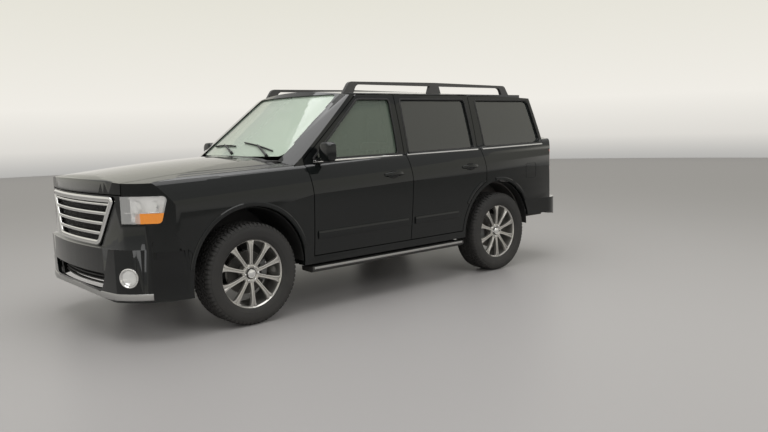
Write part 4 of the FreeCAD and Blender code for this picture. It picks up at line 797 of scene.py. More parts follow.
# Body skins, and the trim that lies on them
def body_skins():
    """Smooth skins in place of the faceted panels"""
    for node, slot_name in (("side_frames", "body_paint"), ("roof", "body_paint"), ("fenders", "body_paint"),
                            ("front_cover", "body_paint"), ("rear_bumper", "body_paint"),
                            ("tail_lamps", "lamp_red"),
                            ("marker_lamps", "lamp_amber"), ("roof_rails", "rail_metal"),
                            ("running_boards", "step_plastic"), ("windshield", "glass_tinted"),
                            ("quarter_windows", "glass_privacy")):
        refined(node, "car_body")
    for side in ("left", "right"):
        for end in ("front", "rear"):
            refined("%s_door_%s" % (end, side), "%s_door_%s" % (end, side))
    refined("hood", "hood")
    refined("tailgate", "tailgate")


LINER_INNER_X = 0.497
LINER_OUTER_X = 0.966
REAR_LINER_INNER_X = 0.730
LIP_RADIUS = ARCH_RADIUS + 0.019
HANDLE_LIFTS = (0.002, 0.020, 0.034, 0.038, 0.040, 0.038, 0.034, 0.020, 0.002)
HANDLE_TAPER = (0.75, 0.9, 1.0, 1.0, 1.0, 1.0, 1.0, 0.9, 0.75)
DOOR_LIP_RADIUS = ARCH_RADIUS + 0.062
SEAL_SECTION = rounded(0.018, 0.008, 0.0035)
BELT_SECTION = rounded(0.016, 0.010, 0.004)
MOULDING_SECTION = [(-0.036, -0.004), (-0.032, 0.006), (-0.020, 0.011), (0.020, 0.011), (0.032, 0.006),
                    (0.036, -0.004)]
LIP_SECTION = [(-0.017, -0.006), (-0.014, 0.004), (-0.006, 0.008), (0.010, 0.008), (0.017, 0.003),
               (0.017, -0.006)]
FRONT_PANE = [(-0.858, 1.270), (0.101, 1.278), (0.101, 1.764), (-0.271, 1.764)]
REAR_PANE = [(0.245, 1.280), (1.143, 1.292), (1.119, 1.764), (0.245, 1.764)]
QUARTER_PANE = [(1.319, 1.298), (2.242, 1.312), (2.150, 1.758), (1.291, 1.760)]


def grown(corners, margin):
    """Closed outline moved outward from its middle by about a margin"""
    middle_y = sum(y for y, z in corners) / len(corners)
    middle_z = sum(z for y, z in corners) / len(corners)
    reach_y = max(abs(y - middle_y) for y, z in corners)
    reach_z = max(abs(z - middle_z) for y, z in corners)
    return [(middle_y + (y - middle_y) * (1 + margin / reach_y),
             middle_z + (z - middle_z) * (1 + margin / reach_z)) for y, z in corners]


def laid_strip(name, tree, points, sign, section, body, material, closed=False, lift=0.001):
    """Strip that hugs a flank along (y, z) points"""
    path, outs = laid_on(tree, side_starts(points, sign), Vector((-sign, 0, 0)), lift)
    shape = bmesh.new()
    sweep(shape, path, outs, section, closed=closed)
    return made(name, shape, body, material)


def arch_points(axle_y, start, end, radius):
    """Points round a wheel arch, angles in degrees from behind the wheel upward"""
    points = []
    steps = 30
    for step in range(steps + 1):
        turn = math.radians(start + (end - start) * step / steps)
        points.append((axle_y + radius * math.cos(turn), ARCH_Z + radius * math.sin(turn)))
    return points


def flank_trim():
    """Window frames, belt strips, mouldings, arch lips, handles and liners of both flanks"""
    for side, sign in (("left", 1), ("right", -1)):
        front, rear = "front_door_" + side, "rear_door_" + side
        doors = {front: skin_tree(front), rear: skin_tree(rear)}
        fixed = skin_tree("side_frames", "fenders", "front_cover")
        for name, tree, body, pane in (("front_pane_seal_", doors[front], front, FRONT_PANE),
                                       ("rear_pane_seal_", doors[rear], rear, REAR_PANE),
                                       ("quarter_pane_seal_", fixed, "car_body", QUARTER_PANE)):
            corners = rounded_corners(grown(pane, 0.010), 0.035)
            points = [tuple(point) for point in spaced(corners, 0.04, closed=True)]
            laid_strip(name + side, tree, points, sign, SEAL_SECTION, body, SEAL_RUBBER,
                       closed=True, lift=0.000)
        for name, tree, body, start, end in (
                ("front_belt_strip_", doors[front], front, (-0.860, 1.246), (0.140, 1.256)),
                ("rear_belt_strip_", doors[rear], rear, (0.205, 1.257), (1.165, 1.268)),
                ("quarter_belt_strip_", fixed, "car_body", (1.235, 1.270), (2.215, 1.288))):
            laid_strip(name + side, tree, spaced([start, end], 0.05), sign, BELT_SECTION, body, CHROME)
        for name, tree, body, start, end in (
                ("front_door_moulding_", doors[front], front, (-0.900, 0.640), (0.125, 0.646)),
                ("rear_door_moulding_", doors[rear], rear, (0.215, 0.647), (0.800, 0.650))):
            laid_strip(name + side, tree, spaced([start, end], 0.05), sign, MOULDING_SECTION, body, PAINT)
        for name, tree, body, points in (
                ("front_arch_lip_", fixed, "car_body", arch_points(FRONT_AXLE_Y, 12, 172, LIP_RADIUS)),
                ("rear_arch_lip_", fixed, "car_body", arch_points(REAR_AXLE_Y, 6, 96, LIP_RADIUS)),
                ("rear_door_arch_lip_", doors[rear], rear,
                 arch_points(REAR_AXLE_Y, 118, 148, DOOR_LIP_RADIUS))):
            laid_strip(name + side, tree, points, sign, LIP_SECTION, body, PAINT, lift=0.0)
        arch_liner("front_arch_liner_" + side, sign, FRONT_AXLE_Y, LINER_INNER_X, True)
        arch_liner("rear_arch_liner_" + side, sign, REAR_AXLE_Y, REAR_LINER_INNER_X, False)
        door_handle("front_handle_" + side, doors[front], front, sign, -0.030, 1.092)
        door_handle("rear_handle_" + side, doors[rear], rear, sign, 0.985, 1.104)
    fuel_flap()


def arch_liner(name, sign, axle_y, inner_x, closed_above):
    """Curved liner under a wheel arch, with a wall towards the engine bay at the front"""
    liner = bmesh.new()
    middle_x = (inner_x + LINER_OUTER_X) / 2
    centre = Vector((sign * middle_x, axle_y, ARCH_Z))
    path = [Vector((sign * middle_x, y, z)) for y, z in arch_points(axle_y, 0, 180, ARCH_RADIUS - 0.010)]
    sweep(liner, path, [(place - centre).normalized() for place in path],
          rounded(LINER_OUTER_X - inner_x, 0.004, 0.0015, 1))
    if closed_above:
        wall = arch_points(axle_y, 16, 164, ARCH_RADIUS - 0.012)
        loft(liner, [[Vector((sign * x, y, z)) for y, z in wall] for x in (inner_x, inner_x + 0.003)])
    made(name, liner, "car_body", BLACK_PLASTIC, (), 30)


def door_handle(name, tree, body, sign, middle_y, z):
    """Pull handle with its two feet, and a near-black cup behind it as painted shade in the handle recess"""
    path, outs = laid_on(tree, side_starts(spaced([(middle_y - 0.112, z), (middle_y + 0.112, z)], 0.028), sign),
                         Vector((-sign, 0, 0)))
    last = len(path) - 1
    shape = bmesh.new()
    stations = [round(index * 8 / last) for index in range(last + 1)]
    bow = [place + out * HANDLE_LIFTS[station] for place, out, station in zip(path, outs, stations)]
    sweep(shape, bow, outs, rounded(0.030, 0.013, 0.0055),
          taper=[HANDLE_TAPER[station] for station in stations])
    made(name, shape, body, PAINT, (), 40)
    # Near-black disc under the handle: painted shade in the recess
    cup = bmesh.new()
    middle, out = path[last // 2], outs[last // 2]
    lathe(cup, [(-0.004, 0.0), (-0.004, 0.034), (0.0015, 0.036), (0.0025, 0.033), (0.0012, 0.029),
                (0.0008, 0.0)], middle, out, 32)
    for vertex in cup.verts:
        vertex.co.y = middle.y + (vertex.co.y - middle.y) * 1.9
    made(name + "_cup", cup, body, SHADE_AND_SEAM_BLACK, (), 40)


def fuel_flap():
    """Seam of the fuel flap on the left rear wing"""
    tree = skin_tree("side_frames")
    outline = rounded_corners([(1.86, 0.93), (2.03, 0.93), (2.03, 1.09), (1.86, 1.09)], 0.035)
    points = [tuple(point) for point in spaced(outline, 0.02, closed=True)]
    laid_strip("fuel_flap_seam", tree, points, 1, rounded(0.004, 0.003, 0.0012, 1), "car_body", SHADE_AND_SEAM_BLACK,
               closed=True, lift=0.0002)


# Nose
NOSE_CROWN = 0.139
GRILLE_LOW_Z = 0.694
GRILLE_HIGH_Z = 1.072
MESH_HALF_WIDTH = 0.600
MESH_ROWS = 23
MESH_ROW_PITCH = 0.0152
MESH_RIBS = 58
MESH_RIB_PITCH = 0.02
INTAKE_SLATS = 4
INTAKE_PITCH = 0.0275


def nose_y(x, face):
    """Depth of the bowed nose at a place across it"""
    return face + NOSE_CROWN * x * x


def grille():
    """Bright surround and bars over a fine dark mesh, with a near-black sheet behind them as painted shade"""
    outline = rounded_corners([(0.635, 1.049), (-0.635, 1.049), (-0.418, 0.717), (0.418, 0.717)], 0.035)
    points = spaced(outline, 0.05, closed=True)
    surround = bmesh.new()
    sweep(surround, [Vector((x, nose_y(x, -2.506), z)) for x, z in points], [FORWARD] * len(points),
          rounded(0.044, 0.052, 0.012), closed=True)
    bars = [solid_mesh("surround", surround)]
    for z, height in ((0.790, 0.028), (0.866, 0.028), (0.942, 0.028), (1.010, 0.020)):
        half = 0.384 + 0.656 * (z - GRILLE_LOW_Z)
        rings = []
        for step in range(21):
            x = half * (step / 10 - 1)
            rings.append([Vector((x, nose_y(x, -2.508) + a, z + o)) for a, o in rounded(0.030, height, 0.008)])
        bar = bmesh.new()
        loft(bar, rings)
        bars.append(solid_mesh("bar", bar))
    piece("grille_bars", joined("grille_bars", *bars), "car_body", CHROME, ("grille",), 40)
    slat = block_mesh("mesh_row", (-MESH_HALF_WIDTH, -2.490, 0.712), (MESH_HALF_WIDTH, -2.486, 0.716), 0.0012)
    rows = copied(slat, ROW, Count=MESH_ROWS, Step=(0.0, 0.0, MESH_ROW_PITCH), Finish=GLOSS_PLASTIC)
    rib = block_mesh("mesh_rib", (-0.570, -2.487, 0.704), (-0.566, -2.482, 1.060), 0.0012)
    ribs = copied(rib, ROW, Count=MESH_RIBS, Step=(MESH_RIB_PITCH, 0.0, 0.0), Finish=GLOSS_PLASTIC)
    mesh = joined("grille_mesh", rows, ribs)
    # Near-black sheet behind the mesh: painted shade for the shadowed space behind the grille
    back = bmesh.new()
    slab(back, (-MESH_HALF_WIDTH, -2.480, 0.700), (MESH_HALF_WIDTH, -2.474, 1.066), 0.002)
    long_edges = [edge for edge in back.edges if edge.calc_length() > 1]
    bmesh.ops.subdivide_edges(back, edges=long_edges, cuts=15)
    back = solid_mesh("back", back)
    for shape in (mesh, back):
        for vertex in shape.vertices:
            height = (vertex.co.z - GRILLE_LOW_Z) / (GRILLE_HIGH_Z - GRILLE_LOW_Z)
            vertex.co.x *= (0.412 + 0.235 * height) / MESH_HALF_WIDTH
            vertex.co.y += NOSE_CROWN * vertex.co.x ** 2
    piece("grille_mesh", mesh, "car_body", GLOSS_PLASTIC, (), 30)
    piece("grille_back", back, "car_body", SHADE_AND_SEAM_BLACK, (), 30)


def lamp_bowl(shape, centre, axis, radius, depth):
    """Reflector bowl, open towards its axis, with the bulb shield in the middle"""
    profile = [(0.0, radius + 0.004), (0.002, radius + 0.002), (0.0, radius), (-depth * 0.35, radius * 0.84),
               (-depth * 0.7, radius * 0.55), (-depth, radius * 0.18), (-depth, 0.0)]
    lathe(shape, profile, centre, axis, 40)
    lathe(shape, [(-depth * 0.95, 0.0), (-depth * 0.95, radius * 0.10), (-depth * 0.30, radius * 0.16),
                  (-depth * 0.22, radius * 0.12), (-depth * 0.20, 0.0)], centre, axis, 20)


def headlamps():
    """Clear lens over three reflector bowls, a pale housing and a bright divider, on both sides"""
    lens = merged_copy("headlamps")
    shape = bmesh.new()
    shape.from_mesh(lens)
    shape.normal_update()
    inner = [face for face in shape.faces if face.normal.y > -0.2 or abs(face.normal.z) > 0.7]
    bmesh.ops.delete(shape, geom=inner, context="FACES")
    shape.to_mesh(lens)
    shape.free()
    piece("headlamp_lens", lens, "car_body", LAMP_LENS, ("headlamps",))
    tree = skin_tree("headlamps", "marker_lamps")
    for side, sign in (("left", 1), ("right", -1)):
        bowls, housing = bmesh.new(), bmesh.new()
        for x, z, radius, depth in ((0.797, 0.990, 0.052, 0.060), (0.893, 0.996, 0.040, 0.050),
                                    (0.842, 0.912, 0.026, 0.034)):
            front = tree.ray_cast(Vector((sign * (x + radius * 0.8), -FAR, z)), BACKWARD)[0]
            lamp_bowl(bowls, Vector((sign * x, front.y + 0.016, z)), FORWARD, radius, depth)
        made("headlamp_bowls_" + side, bowls, "car_body", REFLECTOR)
        rings = []
        for x in (0.742, 0.780, 0.820, 0.860, 0.900, 0.935, 0.958):
            front = tree.ray_cast(Vector((sign * x, -FAR, 1.0)), BACKWARD)[0]
            rings.append([Vector((sign * x, front.y + depth, z)) for depth, z in
                          ((0.070, 0.884), (0.070, 1.068), (0.078, 1.068), (0.078, 0.884))])
        loft(housing, rings)
        made("headlamp_housing_" + side, housing, "car_body", PALE_REFLECTOR)
        trim = bmesh.new()
        path = []
        for x in (0.744, 0.780, 0.820, 0.860, 0.900, 0.930):
            front = tree.ray_cast(Vector((sign * x, -FAR, 1.0)), BACKWARD)[0]
            path.append(Vector((sign * x, front.y + 0.030, 0.956)))
        sweep(trim, path, [UP] * len(path), rounded(0.040, 0.006, 0.002))
        made("headlamp_divider_" + side, trim, "car_body", CHROME)


def fog_lamps():
    """Round fog lamps: bright ring, bowl and lens"""
    for side, sign in (("left", 1), ("right", -1)):
        axis = Vector((sign * 0.6428, -0.7660, 0))
        centre = Vector((sign * 0.789, -2.434, 0.488))
        turned_piece("fog_ring_" + side, [(-0.012, 0.064), (0.004, 0.074), (0.010, 0.072), (0.011, 0.066),
                                          (0.004, 0.059), (-0.012, 0.056)],
                     centre, axis, 48, "car_body", CHROME, looped=True)
        bowl = bmesh.new()
        lamp_bowl(bowl, centre + axis * -0.004, axis, 0.052, 0.030)
        made("fog_bowl_" + side, bowl, "car_body", REFLECTOR)
        turned_piece("fog_lens_" + side, [(-0.004, 0.060), (0.004, 0.058), (0.009, 0.040), (0.012, 0.0)],
                     centre, axis, 40, "car_body", LAMP_LENS)


def intake():
    """Slats of the lower intake with a near-black sheet behind them as painted shade, and the bright lower lip
    """
    slat = bmesh.new()
    rings = []
    for step in range(25):
        x = -0.500 + step / 24
        y = -2.500 + 0.055 * (x / 0.5) ** 2
        rings.append([Vector((x, y + a, 0.404 + o)) for a, o in rounded(0.030, 0.009, 0.004)])
    loft(slat, rings)
    rows = copied(solid_mesh("slat", slat), ROW, Count=INTAKE_SLATS, Step=(0.0, 0.0, INTAKE_PITCH),
                  Finish=BLACK_PLASTIC)
    piece("intake_slats", rows, "car_body", BLACK_PLASTIC)
    # Near-black sheet behind the slats: painted shade in the intake opening
    block_piece("intake_back", (-0.540, -2.395, 0.380), (0.540, -2.389, 0.510), 0.002, "car_body", SHADE_AND_SEAM_BLACK)
    tree = skin_tree("front_cover")
    path = laid_on(tree, end_starts(-0.90, 0.90, 0.345, 0.05, -1), BACKWARD)[0]
    lip = bmesh.new()
    sweep(lip, path, [FORWARD] * len(path), rounded(0.050, 0.016, 0.007))
    made("lower_bumper_lip", lip, "car_body", SATIN_METAL)


# Glass trim, wipers and mirrors
def wiper(name, tree, body, pivot, tip, toward, side_shift):
    """Arm from its pivot to the middle of a blade that lies along the glass"""
    arm = bmesh.new()
    start, end = Vector(pivot), Vector(tip)
    points = landings(tree, [start.lerp(end, step / 8) - toward for step in range(9)], toward)
    path = [place + normal * 0.020 for place, normal in points]
    outs = [normal for _, normal in points]
    sweep(arm, path, outs, rounded(0.014, 0.007, 0.003), taper=[1.5 - 0.07 * step for step in range(len(path))])
    lathe(arm, [(-0.020, 0.0), (-0.020, 0.014), (0.006, 0.013), (0.009, 0.008), (0.010, 0.0)], path[0], outs[0],
          20)
    middle = start.lerp(end, 0.99)
    across = Vector(side_shift)
    blade = landings(tree, [middle + across * (step / 5 - 1) - toward for step in range(11)], toward)
    sweep(arm, [place + normal * 0.009 for place, normal in blade], [normal for _, normal in blade],
          rounded(0.009, 0.016, 0.003))
    made(name, arm, body, BLACK_PLASTIC, (), 40)


def wipers():
    """Two wipers on the windshield and one on the rear glass"""
    tree = skin_tree("windshield")
    down = Vector((0, 0.5, -0.87)).normalized()
    for name, pivot, tip in (("left_wiper", (0.600, -1.120, 1.315), (0.300, -1.020, 1.385)),
                             ("right_wiper", (0.020, -1.120, 1.315), (-0.280, -1.020, 1.385))):
        wiper(name, tree, "car_body", pivot, tip, down, (0.24, -0.020, -0.014))
    rear = skin_tree("tailgate_glass")
    wiper("rear_wiper", rear, "tailgate", (0.0, 2.40, 1.315), (0.20, 2.39, 1.345), FORWARD, (0.17, 0, 0.012))


def mirrors():
    """Rounded mirror housings with glass and a foot on the door"""
    for side, sign in (("left", 1), ("right", -1)):
        body = "front_door_" + side
        shell = bmesh.new()
        rings = []
        outline = rounded(1.0, 1.0, 0.30, 6)
        for y, width, height in ((-0.8365, 0.088, 0.090), (-0.8330, 0.126, 0.126), (-0.8230, 0.150, 0.152),
                                 (-0.8050, 0.158, 0.162), (-0.7700, 0.158, 0.162), (-0.7600, 0.156, 0.160),
                                 (-0.7600, 0.142, 0.146), (-0.7680, 0.140, 0.144)):
            rings.append([Vector((sign * (1.015 + a * width), y, 1.326 + o * height)) for a, o in outline])
        loft(shell, rings)
        foot = [(0.880, 1.262, 0.034), (0.915, 1.262, 0.032), (0.950, 1.272, 0.028), (0.975, 1.285, 0.026)]
        foot_outline = rounded(1, 1, 0.3, 4)
        loft(shell, [[Vector((sign * x, -0.797 + a * half * 1.6, z + o * half)) for a, o in foot_outline]
                     for x, z, half in foot])
        made("mirror_shell_" + side, shell, body, PAINT, ("mirror_" + side,), 50)
        face = bmesh.new()
        rings = []
        for y, width, height in ((-0.7665, 0.134, 0.138), (-0.7645, 0.134, 0.138), (-0.7637, 0.130, 0.134)):
            rings.append([Vector((sign * (1.015 + a * width), y, 1.326 + o * height)) for a, o in outline])
        loft(face, rings)
        made("mirror_face_" + side, face, body, MIRROR_GLASS)


# Tail and steps
PAD_RIBS = 57
PAD_RIB_PITCH = 0.0198
TREAD_RIBS = 86
TREAD_RIB_PITCH = 0.0202


def tail_trim():
    """Blank plate, bright bar, stop lamp, step pad, reflectors, lamp bands and exhaust tip"""
    tree = skin_tree("tailgate")
    face = tree.ray_cast(Vector((0.2, FAR, 0.90)), FORWARD)[0].y
    block_piece("plate_recess", (-0.190, face - 0.002, 0.850), (0.190, face + 0.004, 1.020), 0.003, "tailgate",
                BLACK_PLASTIC)
    block_piece("rear_plate", (-0.152, face + 0.003, 0.860), (0.152, face + 0.006, 1.010), 0.0012, "tailgate",
                PLATE_PAINT)
    bar = bmesh.new()
    rings = []
    for x in (-0.400, -0.395, -0.250, 0.0, 0.250, 0.395, 0.400):
        share = 0.4 if abs(x) > 0.398 else 1.0
        y = tree.ray_cast(Vector((x, FAR, 1.068)), FORWARD)[0].y
        rings.append([Vector((x, y + 0.004 + a * share, 1.064 + o * share))
                      for a, o in rounded(0.020, 0.046, 0.009)])
    loft(bar, rings)
    made("tailgate_bar", bar, "tailgate", CHROME)
    roof_face = tree.ray_cast(Vector((0.1, FAR, 1.800)), FORWARD)[0].y
    block_piece("high_stop_lamp", (-0.180, roof_face - 0.004, 1.792), (0.180, roof_face + 0.008, 1.812), 0.003,
                "tailgate", LAMP_RED)
    rib = block_mesh("rib", (-0.560, 2.485, 0.700), (-0.552, 2.545, 0.7045), 0.0015)
    ribs = copied(rib, ROW, Count=PAD_RIBS, Step=(PAD_RIB_PITCH, 0.0, 0.0), Finish=BLACK_PLASTIC)
    pad = block_mesh("pad", (-0.580, 2.478, 0.696), (0.580, 2.550, 0.7015), 0.002)
    piece("bumper_step_pad", joined("pad", ribs, pad), "car_body", BLACK_PLASTIC)
    bumper = skin_tree("rear_bumper")
    for side, sign in (("left", 1), ("right", -1)):
        path, outs = laid_on(bumper, end_starts(0.66, 0.84, 0.565, 0.03, 1, sign), FORWARD, 0.001)
        strip = bmesh.new()
        sweep(strip, path, outs, rounded(0.036, 0.008, 0.003))
        made("rear_reflector_" + side, strip, "car_body", LAMP_RED)
        lamps = skin_tree("tail_lamps")
        bands = []
        for z in (1.010, 1.080):
            path, outs = laid_on(lamps, end_starts(0.806, 0.974, z, 0.02, 1, sign), FORWARD, 0.0005)
            band = bmesh.new()
            sweep(band, path, outs, rounded(0.044 if z < 1.05 else 0.006, 0.004, 0.0015))
            bands.append(solid_mesh("band", band))
        piece("reversing_lens_" + side, bands[0], "car_body", PLATE_PAINT)
        piece("tail_lamp_bar_" + side, bands[1], "car_body", CHROME)
    turned_piece("exhaust_tip", [(-0.140, 0.024), (-0.130, 0.029), (0.0, 0.030), (0.004, 0.0285), (0.0, 0.027),
                                 (-0.120, 0.026)], (-0.27, 2.330, 0.312), (0, 1, 0), 36, "car_body", CHROME,
                 looped=True)


def step_treads():
    """Ribbed pads on the running boards with a bright edge"""
    for side, sign in (("left", 1), ("right", -1)):
        rib = block_mesh("rib", (0.880, -0.920, 0.3790), (0.985, -0.914, 0.3835), 0.0015)
        ribs = copied(moved(rib, (0, 0, 0), sign), ROW, Count=TREAD_RIBS, Step=(0.0, TREAD_RIB_PITCH, 0.0),
                      Finish=SEAL_RUBBER)
        piece("step_tread_" + side, ribs, "car_body", SEAL_RUBBER)
        edge = bmesh.new()
        sweep(edge, [Vector((sign * 0.9965, y, 0.366)) for y in (-0.955, -0.4, 0.2, 0.840)],
              [Vector((sign, 0, 0))] * 4, rounded(0.020, 0.006, 0.0025))
        made("step_edge_" + side, edge, "car_body", SATIN_METAL)


# Cabin
SEAT_ROWS = ((("front_seat_left", "front_seat_right"), (0.40, -0.40), 0.52, -0.42, 0.64, 0.52, 0.74, 0.15, 1),
             (("second_bench",), (0.0,), 1.328, 0.50, 0.65, 0.50, 0.70, 0.14, 3),
             (("third_bench",), (0.0,), 1.18, 1.39, 0.70, 0.46, 0.64, 0.12, 3))
VENT_SLATS = 6
VENT_PITCH = 0.0115
CLOTH_FRAMES = 20
CLOTH_REACH = 0.022
PAD_VOXEL = 0.012


def pad_block(centre_x, width, profile, radius=0.030):
    """Closed block with rounded sides, from its side profile of (y, z) corners"""
    shape = bmesh.new()
    outline = rounded_corners(profile, 0.040, 4)
    middle_y = sum(y for y, z in outline) / len(outline)
    middle_z = sum(z for y, z in outline) / len(outline)
    rings = []
    for share, shrink in ((-0.5, 0.80), (-0.5 + radius * 0.35 / width, 0.92), (-0.5 + radius / width, 1.0),
                          (-0.25, 1.0), (0.0, 1.0), (0.25, 1.0), (0.5 - radius / width, 1.0),
                          (0.5 - radius * 0.35 / width, 0.92), (0.5, 0.80)):
        rings.append([Vector((centre_x + share * width, middle_y + (y - middle_y) * shrink,
                              middle_z + (z - middle_z) * shrink)) for y, z in outline])
    loft(shape, rings)
    return solid_mesh("pad", shape)


def puffed(mesh):
    """Pad swollen by a short cloth run, with its movement capped"""
    maker = bpy.data.objects.new("pad_maker", mesh)
    bpy.context.scene.collection.objects.link(maker)
    bpy.context.view_layer.objects.active = maker
    remesh = maker.modifiers.new("remesh", "REMESH")
    remesh.mode = "VOXEL"
    remesh.voxel_size = PAD_VOXEL
    start = bpy.data.meshes.new_from_object(maker.evaluated_get(bpy.context.evaluated_depsgraph_get()))
    maker.modifiers.clear()
    maker.data = start
    cloth = maker.modifiers.new("cloth", "CLOTH")
    cloth.settings.use_pressure = True
    cloth.settings.uniform_pressure_force = 4.0
    cloth.settings.effector_weights.gravity = 0.0
    cloth.settings.quality = 3
    cloth.collision_settings.use_collision = False
    cloth.point_cache.frame_start = 1
    cloth.point_cache.frame_end = CLOTH_FRAMES
    for frame_number in range(1, CLOTH_FRAMES + 1):
        bpy.context.scene.frame_set(frame_number)
    result = bpy.data.meshes.new_from_object(maker.evaluated_get(bpy.context.evaluated_depsgraph_get()))
    maker.modifiers.clear()
    bpy.context.scene.frame_set(1)
    for before, after in zip(start.vertices, result.vertices):
        step = after.co - before.co
        if step.length > CLOTH_REACH:
            after.co = before.co + step * (CLOTH_REACH / step.length)
    bpy.data.objects.remove(maker)
    return result


def pressed_channels(mesh, lines, depth):
    """Presses sewn channels into a pad along lines at their places across it"""
    low = [min(vertex.co[axis] for vertex in mesh.vertices) for axis in range(3)]
    high = [max(vertex.co[axis] for vertex in mesh.vertices) for axis in range(3)]
    middle = (Vector(low) + Vector(high)) / 2
    for vertex in mesh.vertices:
        dent = 0.0
        for line in lines:
            dent = max(dent, math.exp(-((vertex.co.x - line) / 0.006) ** 2))
        along = (vertex.co - middle).normalized()
        vertex.co -= vertex.normal * dent * depth * (0.4 + 0.6 * abs(along.z))
    return mesh


def headrest_pad():
    """Headrest about its own lower middle, made once for every seat"""
    return puffed(pad_block(0.0, 0.250, [(-0.050, 0.0), (0.045, 0.0), (0.040, 0.083), (-0.035, 0.083)]))


def seats(names, centres, width, front_y, z, depth, height, lean, places, headrest):
    """Seats of one row: padded cushion and back with sewn channels, headrests and a base"""
    part = width / places
    rear_y = front_y + depth
    cushion = pad_block(0.0, width - 0.045, [(front_y + 0.030, z - 0.010), (rear_y - 0.020, z - 0.005),
                                             (rear_y - 0.020, z + 0.088), (front_y + 0.045, z + 0.132)])
    back = pad_block(0.0, width - 0.045, [(rear_y - 0.125, z + 0.130), (rear_y - 0.015, z + 0.100),
                                          (rear_y - 0.010 + lean, z + height - 0.100),
                                          (rear_y - 0.090 + lean, z + height - 0.100)])
    lines = [(index - places / 2) * part for index in range(1, places)]
    for index in range(places):
        middle = (index + 0.5 - places / 2) * part
        lines += [middle - part * 0.27, middle + part * 0.27]
    for kind, mesh in (("cushion", cushion), ("back", back)):
        soft = pressed_channels(puffed(mesh), lines, 0.009)
        for name, centre_x in zip(names, centres):
            replaced = ("seats",) if name == "front_seat_left" and kind == "cushion" else ()
            pad = piece("%s_%s" % (name, kind), moved(soft, (centre_x, 0, 0)), "car_body", LEATHER,
                        replaced, 60)
    for name, centre_x in zip(names, centres):
        seat_frame(name, centre_x, width, front_y, z, depth, height, lean, places, headrest)


def seat_frame(name, centre_x, width, front_y, z, depth, height, lean, places, headrest):
    """Headrests with their posts, and the base under the cushion"""
    part = width / places
    posts = bmesh.new()
    for index in range(places):
        middle = centre_x + (index + 0.5 - places / 2) * part
        if places == 3 and index == 1:
            continue
        top_y = front_y + depth - 0.055 + lean
        rest_pad = piece("%s_headrest_%d" % (name, index), moved(headrest, (middle, top_y, z + height - 0.085)),
                         "car_body", LEATHER, (), 60)
        for shift in (-0.060, 0.060):
            lathe(posts, [(0.0, 0.006), (0.070, 0.006)], (middle + shift, top_y, z + height - 0.140), UP, 12)
    bmesh.ops.holes_fill(posts, edges=posts.edges)
    made(name + "_posts", posts, "car_body", SATIN_METAL)
    block_piece(name + "_base", (centre_x - width / 2 + 0.03, front_y + 0.06, 0.520),
                (centre_x + width / 2 - 0.03, front_y + depth - 0.02, z - 0.012), 0.02, "car_body", CABIN_TRIM)


def steering_wheel():
    """Ring with three spokes and a hub, on its column with two stalks"""
    turn = math.radians(24)
    axis = Vector((0, math.cos(turn), math.sin(turn)))
    upward = Vector((0, -math.sin(turn), math.cos(turn)))
    centre = Vector((0.40, -0.50, 1.04))
    ring = bmesh.new()
    path, outs = [], []
    for step in range(64):
        angle = math.tau * step / 64
        out = LEFTWARD * math.cos(angle) + upward * math.sin(angle)
        path.append(centre + out * 0.180)
        outs.append(out)
    sweep(ring, path, outs, rounded(0.030, 0.026, 0.0125, 4), closed=True)
    ring_mesh = solid_mesh("ring", ring)
    spokes = bmesh.new()
    for angle in (0.0, math.pi, -math.pi / 2):
        out = LEFTWARD * math.cos(angle) + upward * math.sin(angle)
        sweep(spokes, [centre + out * reach - axis * drop for reach, drop in ((0.040, 0.020), (0.110, 0.012),
                                                                              (0.172, 0.0))],
              [axis] * 3, rounded(0.052, 0.014, 0.005), taper=[1.2, 0.9, 0.8])
    lathe(spokes, [(-0.110, 0.0), (-0.110, 0.036), (-0.040, 0.046), (-0.030, 0.066), (-0.006, 0.068),
                   (0.004, 0.058), (0.010, 0.030), (0.011, 0.0)], centre, axis, 40)
    piece("steering_ring", joined("ring", ring_mesh, solid_mesh("spokes", spokes)), "car_body", CABIN_TRIM,
          ("steering_wheel",), 40)
    column = bmesh.new()
    lathe(column, [(-0.260, 0.0), (-0.260, 0.040), (-0.120, 0.042), (-0.112, 0.036), (-0.112, 0.0)], centre,
          axis, 24)
    for sign in (1, -1):
        sweep(column, [centre - axis * 0.140 + Vector((sign * 0.030, 0, 0)), centre - axis * 0.130 +
                       Vector((sign * 0.150, 0, 0.012))], [axis] * 2, rounded(0.016, 0.010, 0.004),
              taper=[1.0, 0.8])
    made("steering_column", column, "car_body", CABIN_TRIM, (), 40)


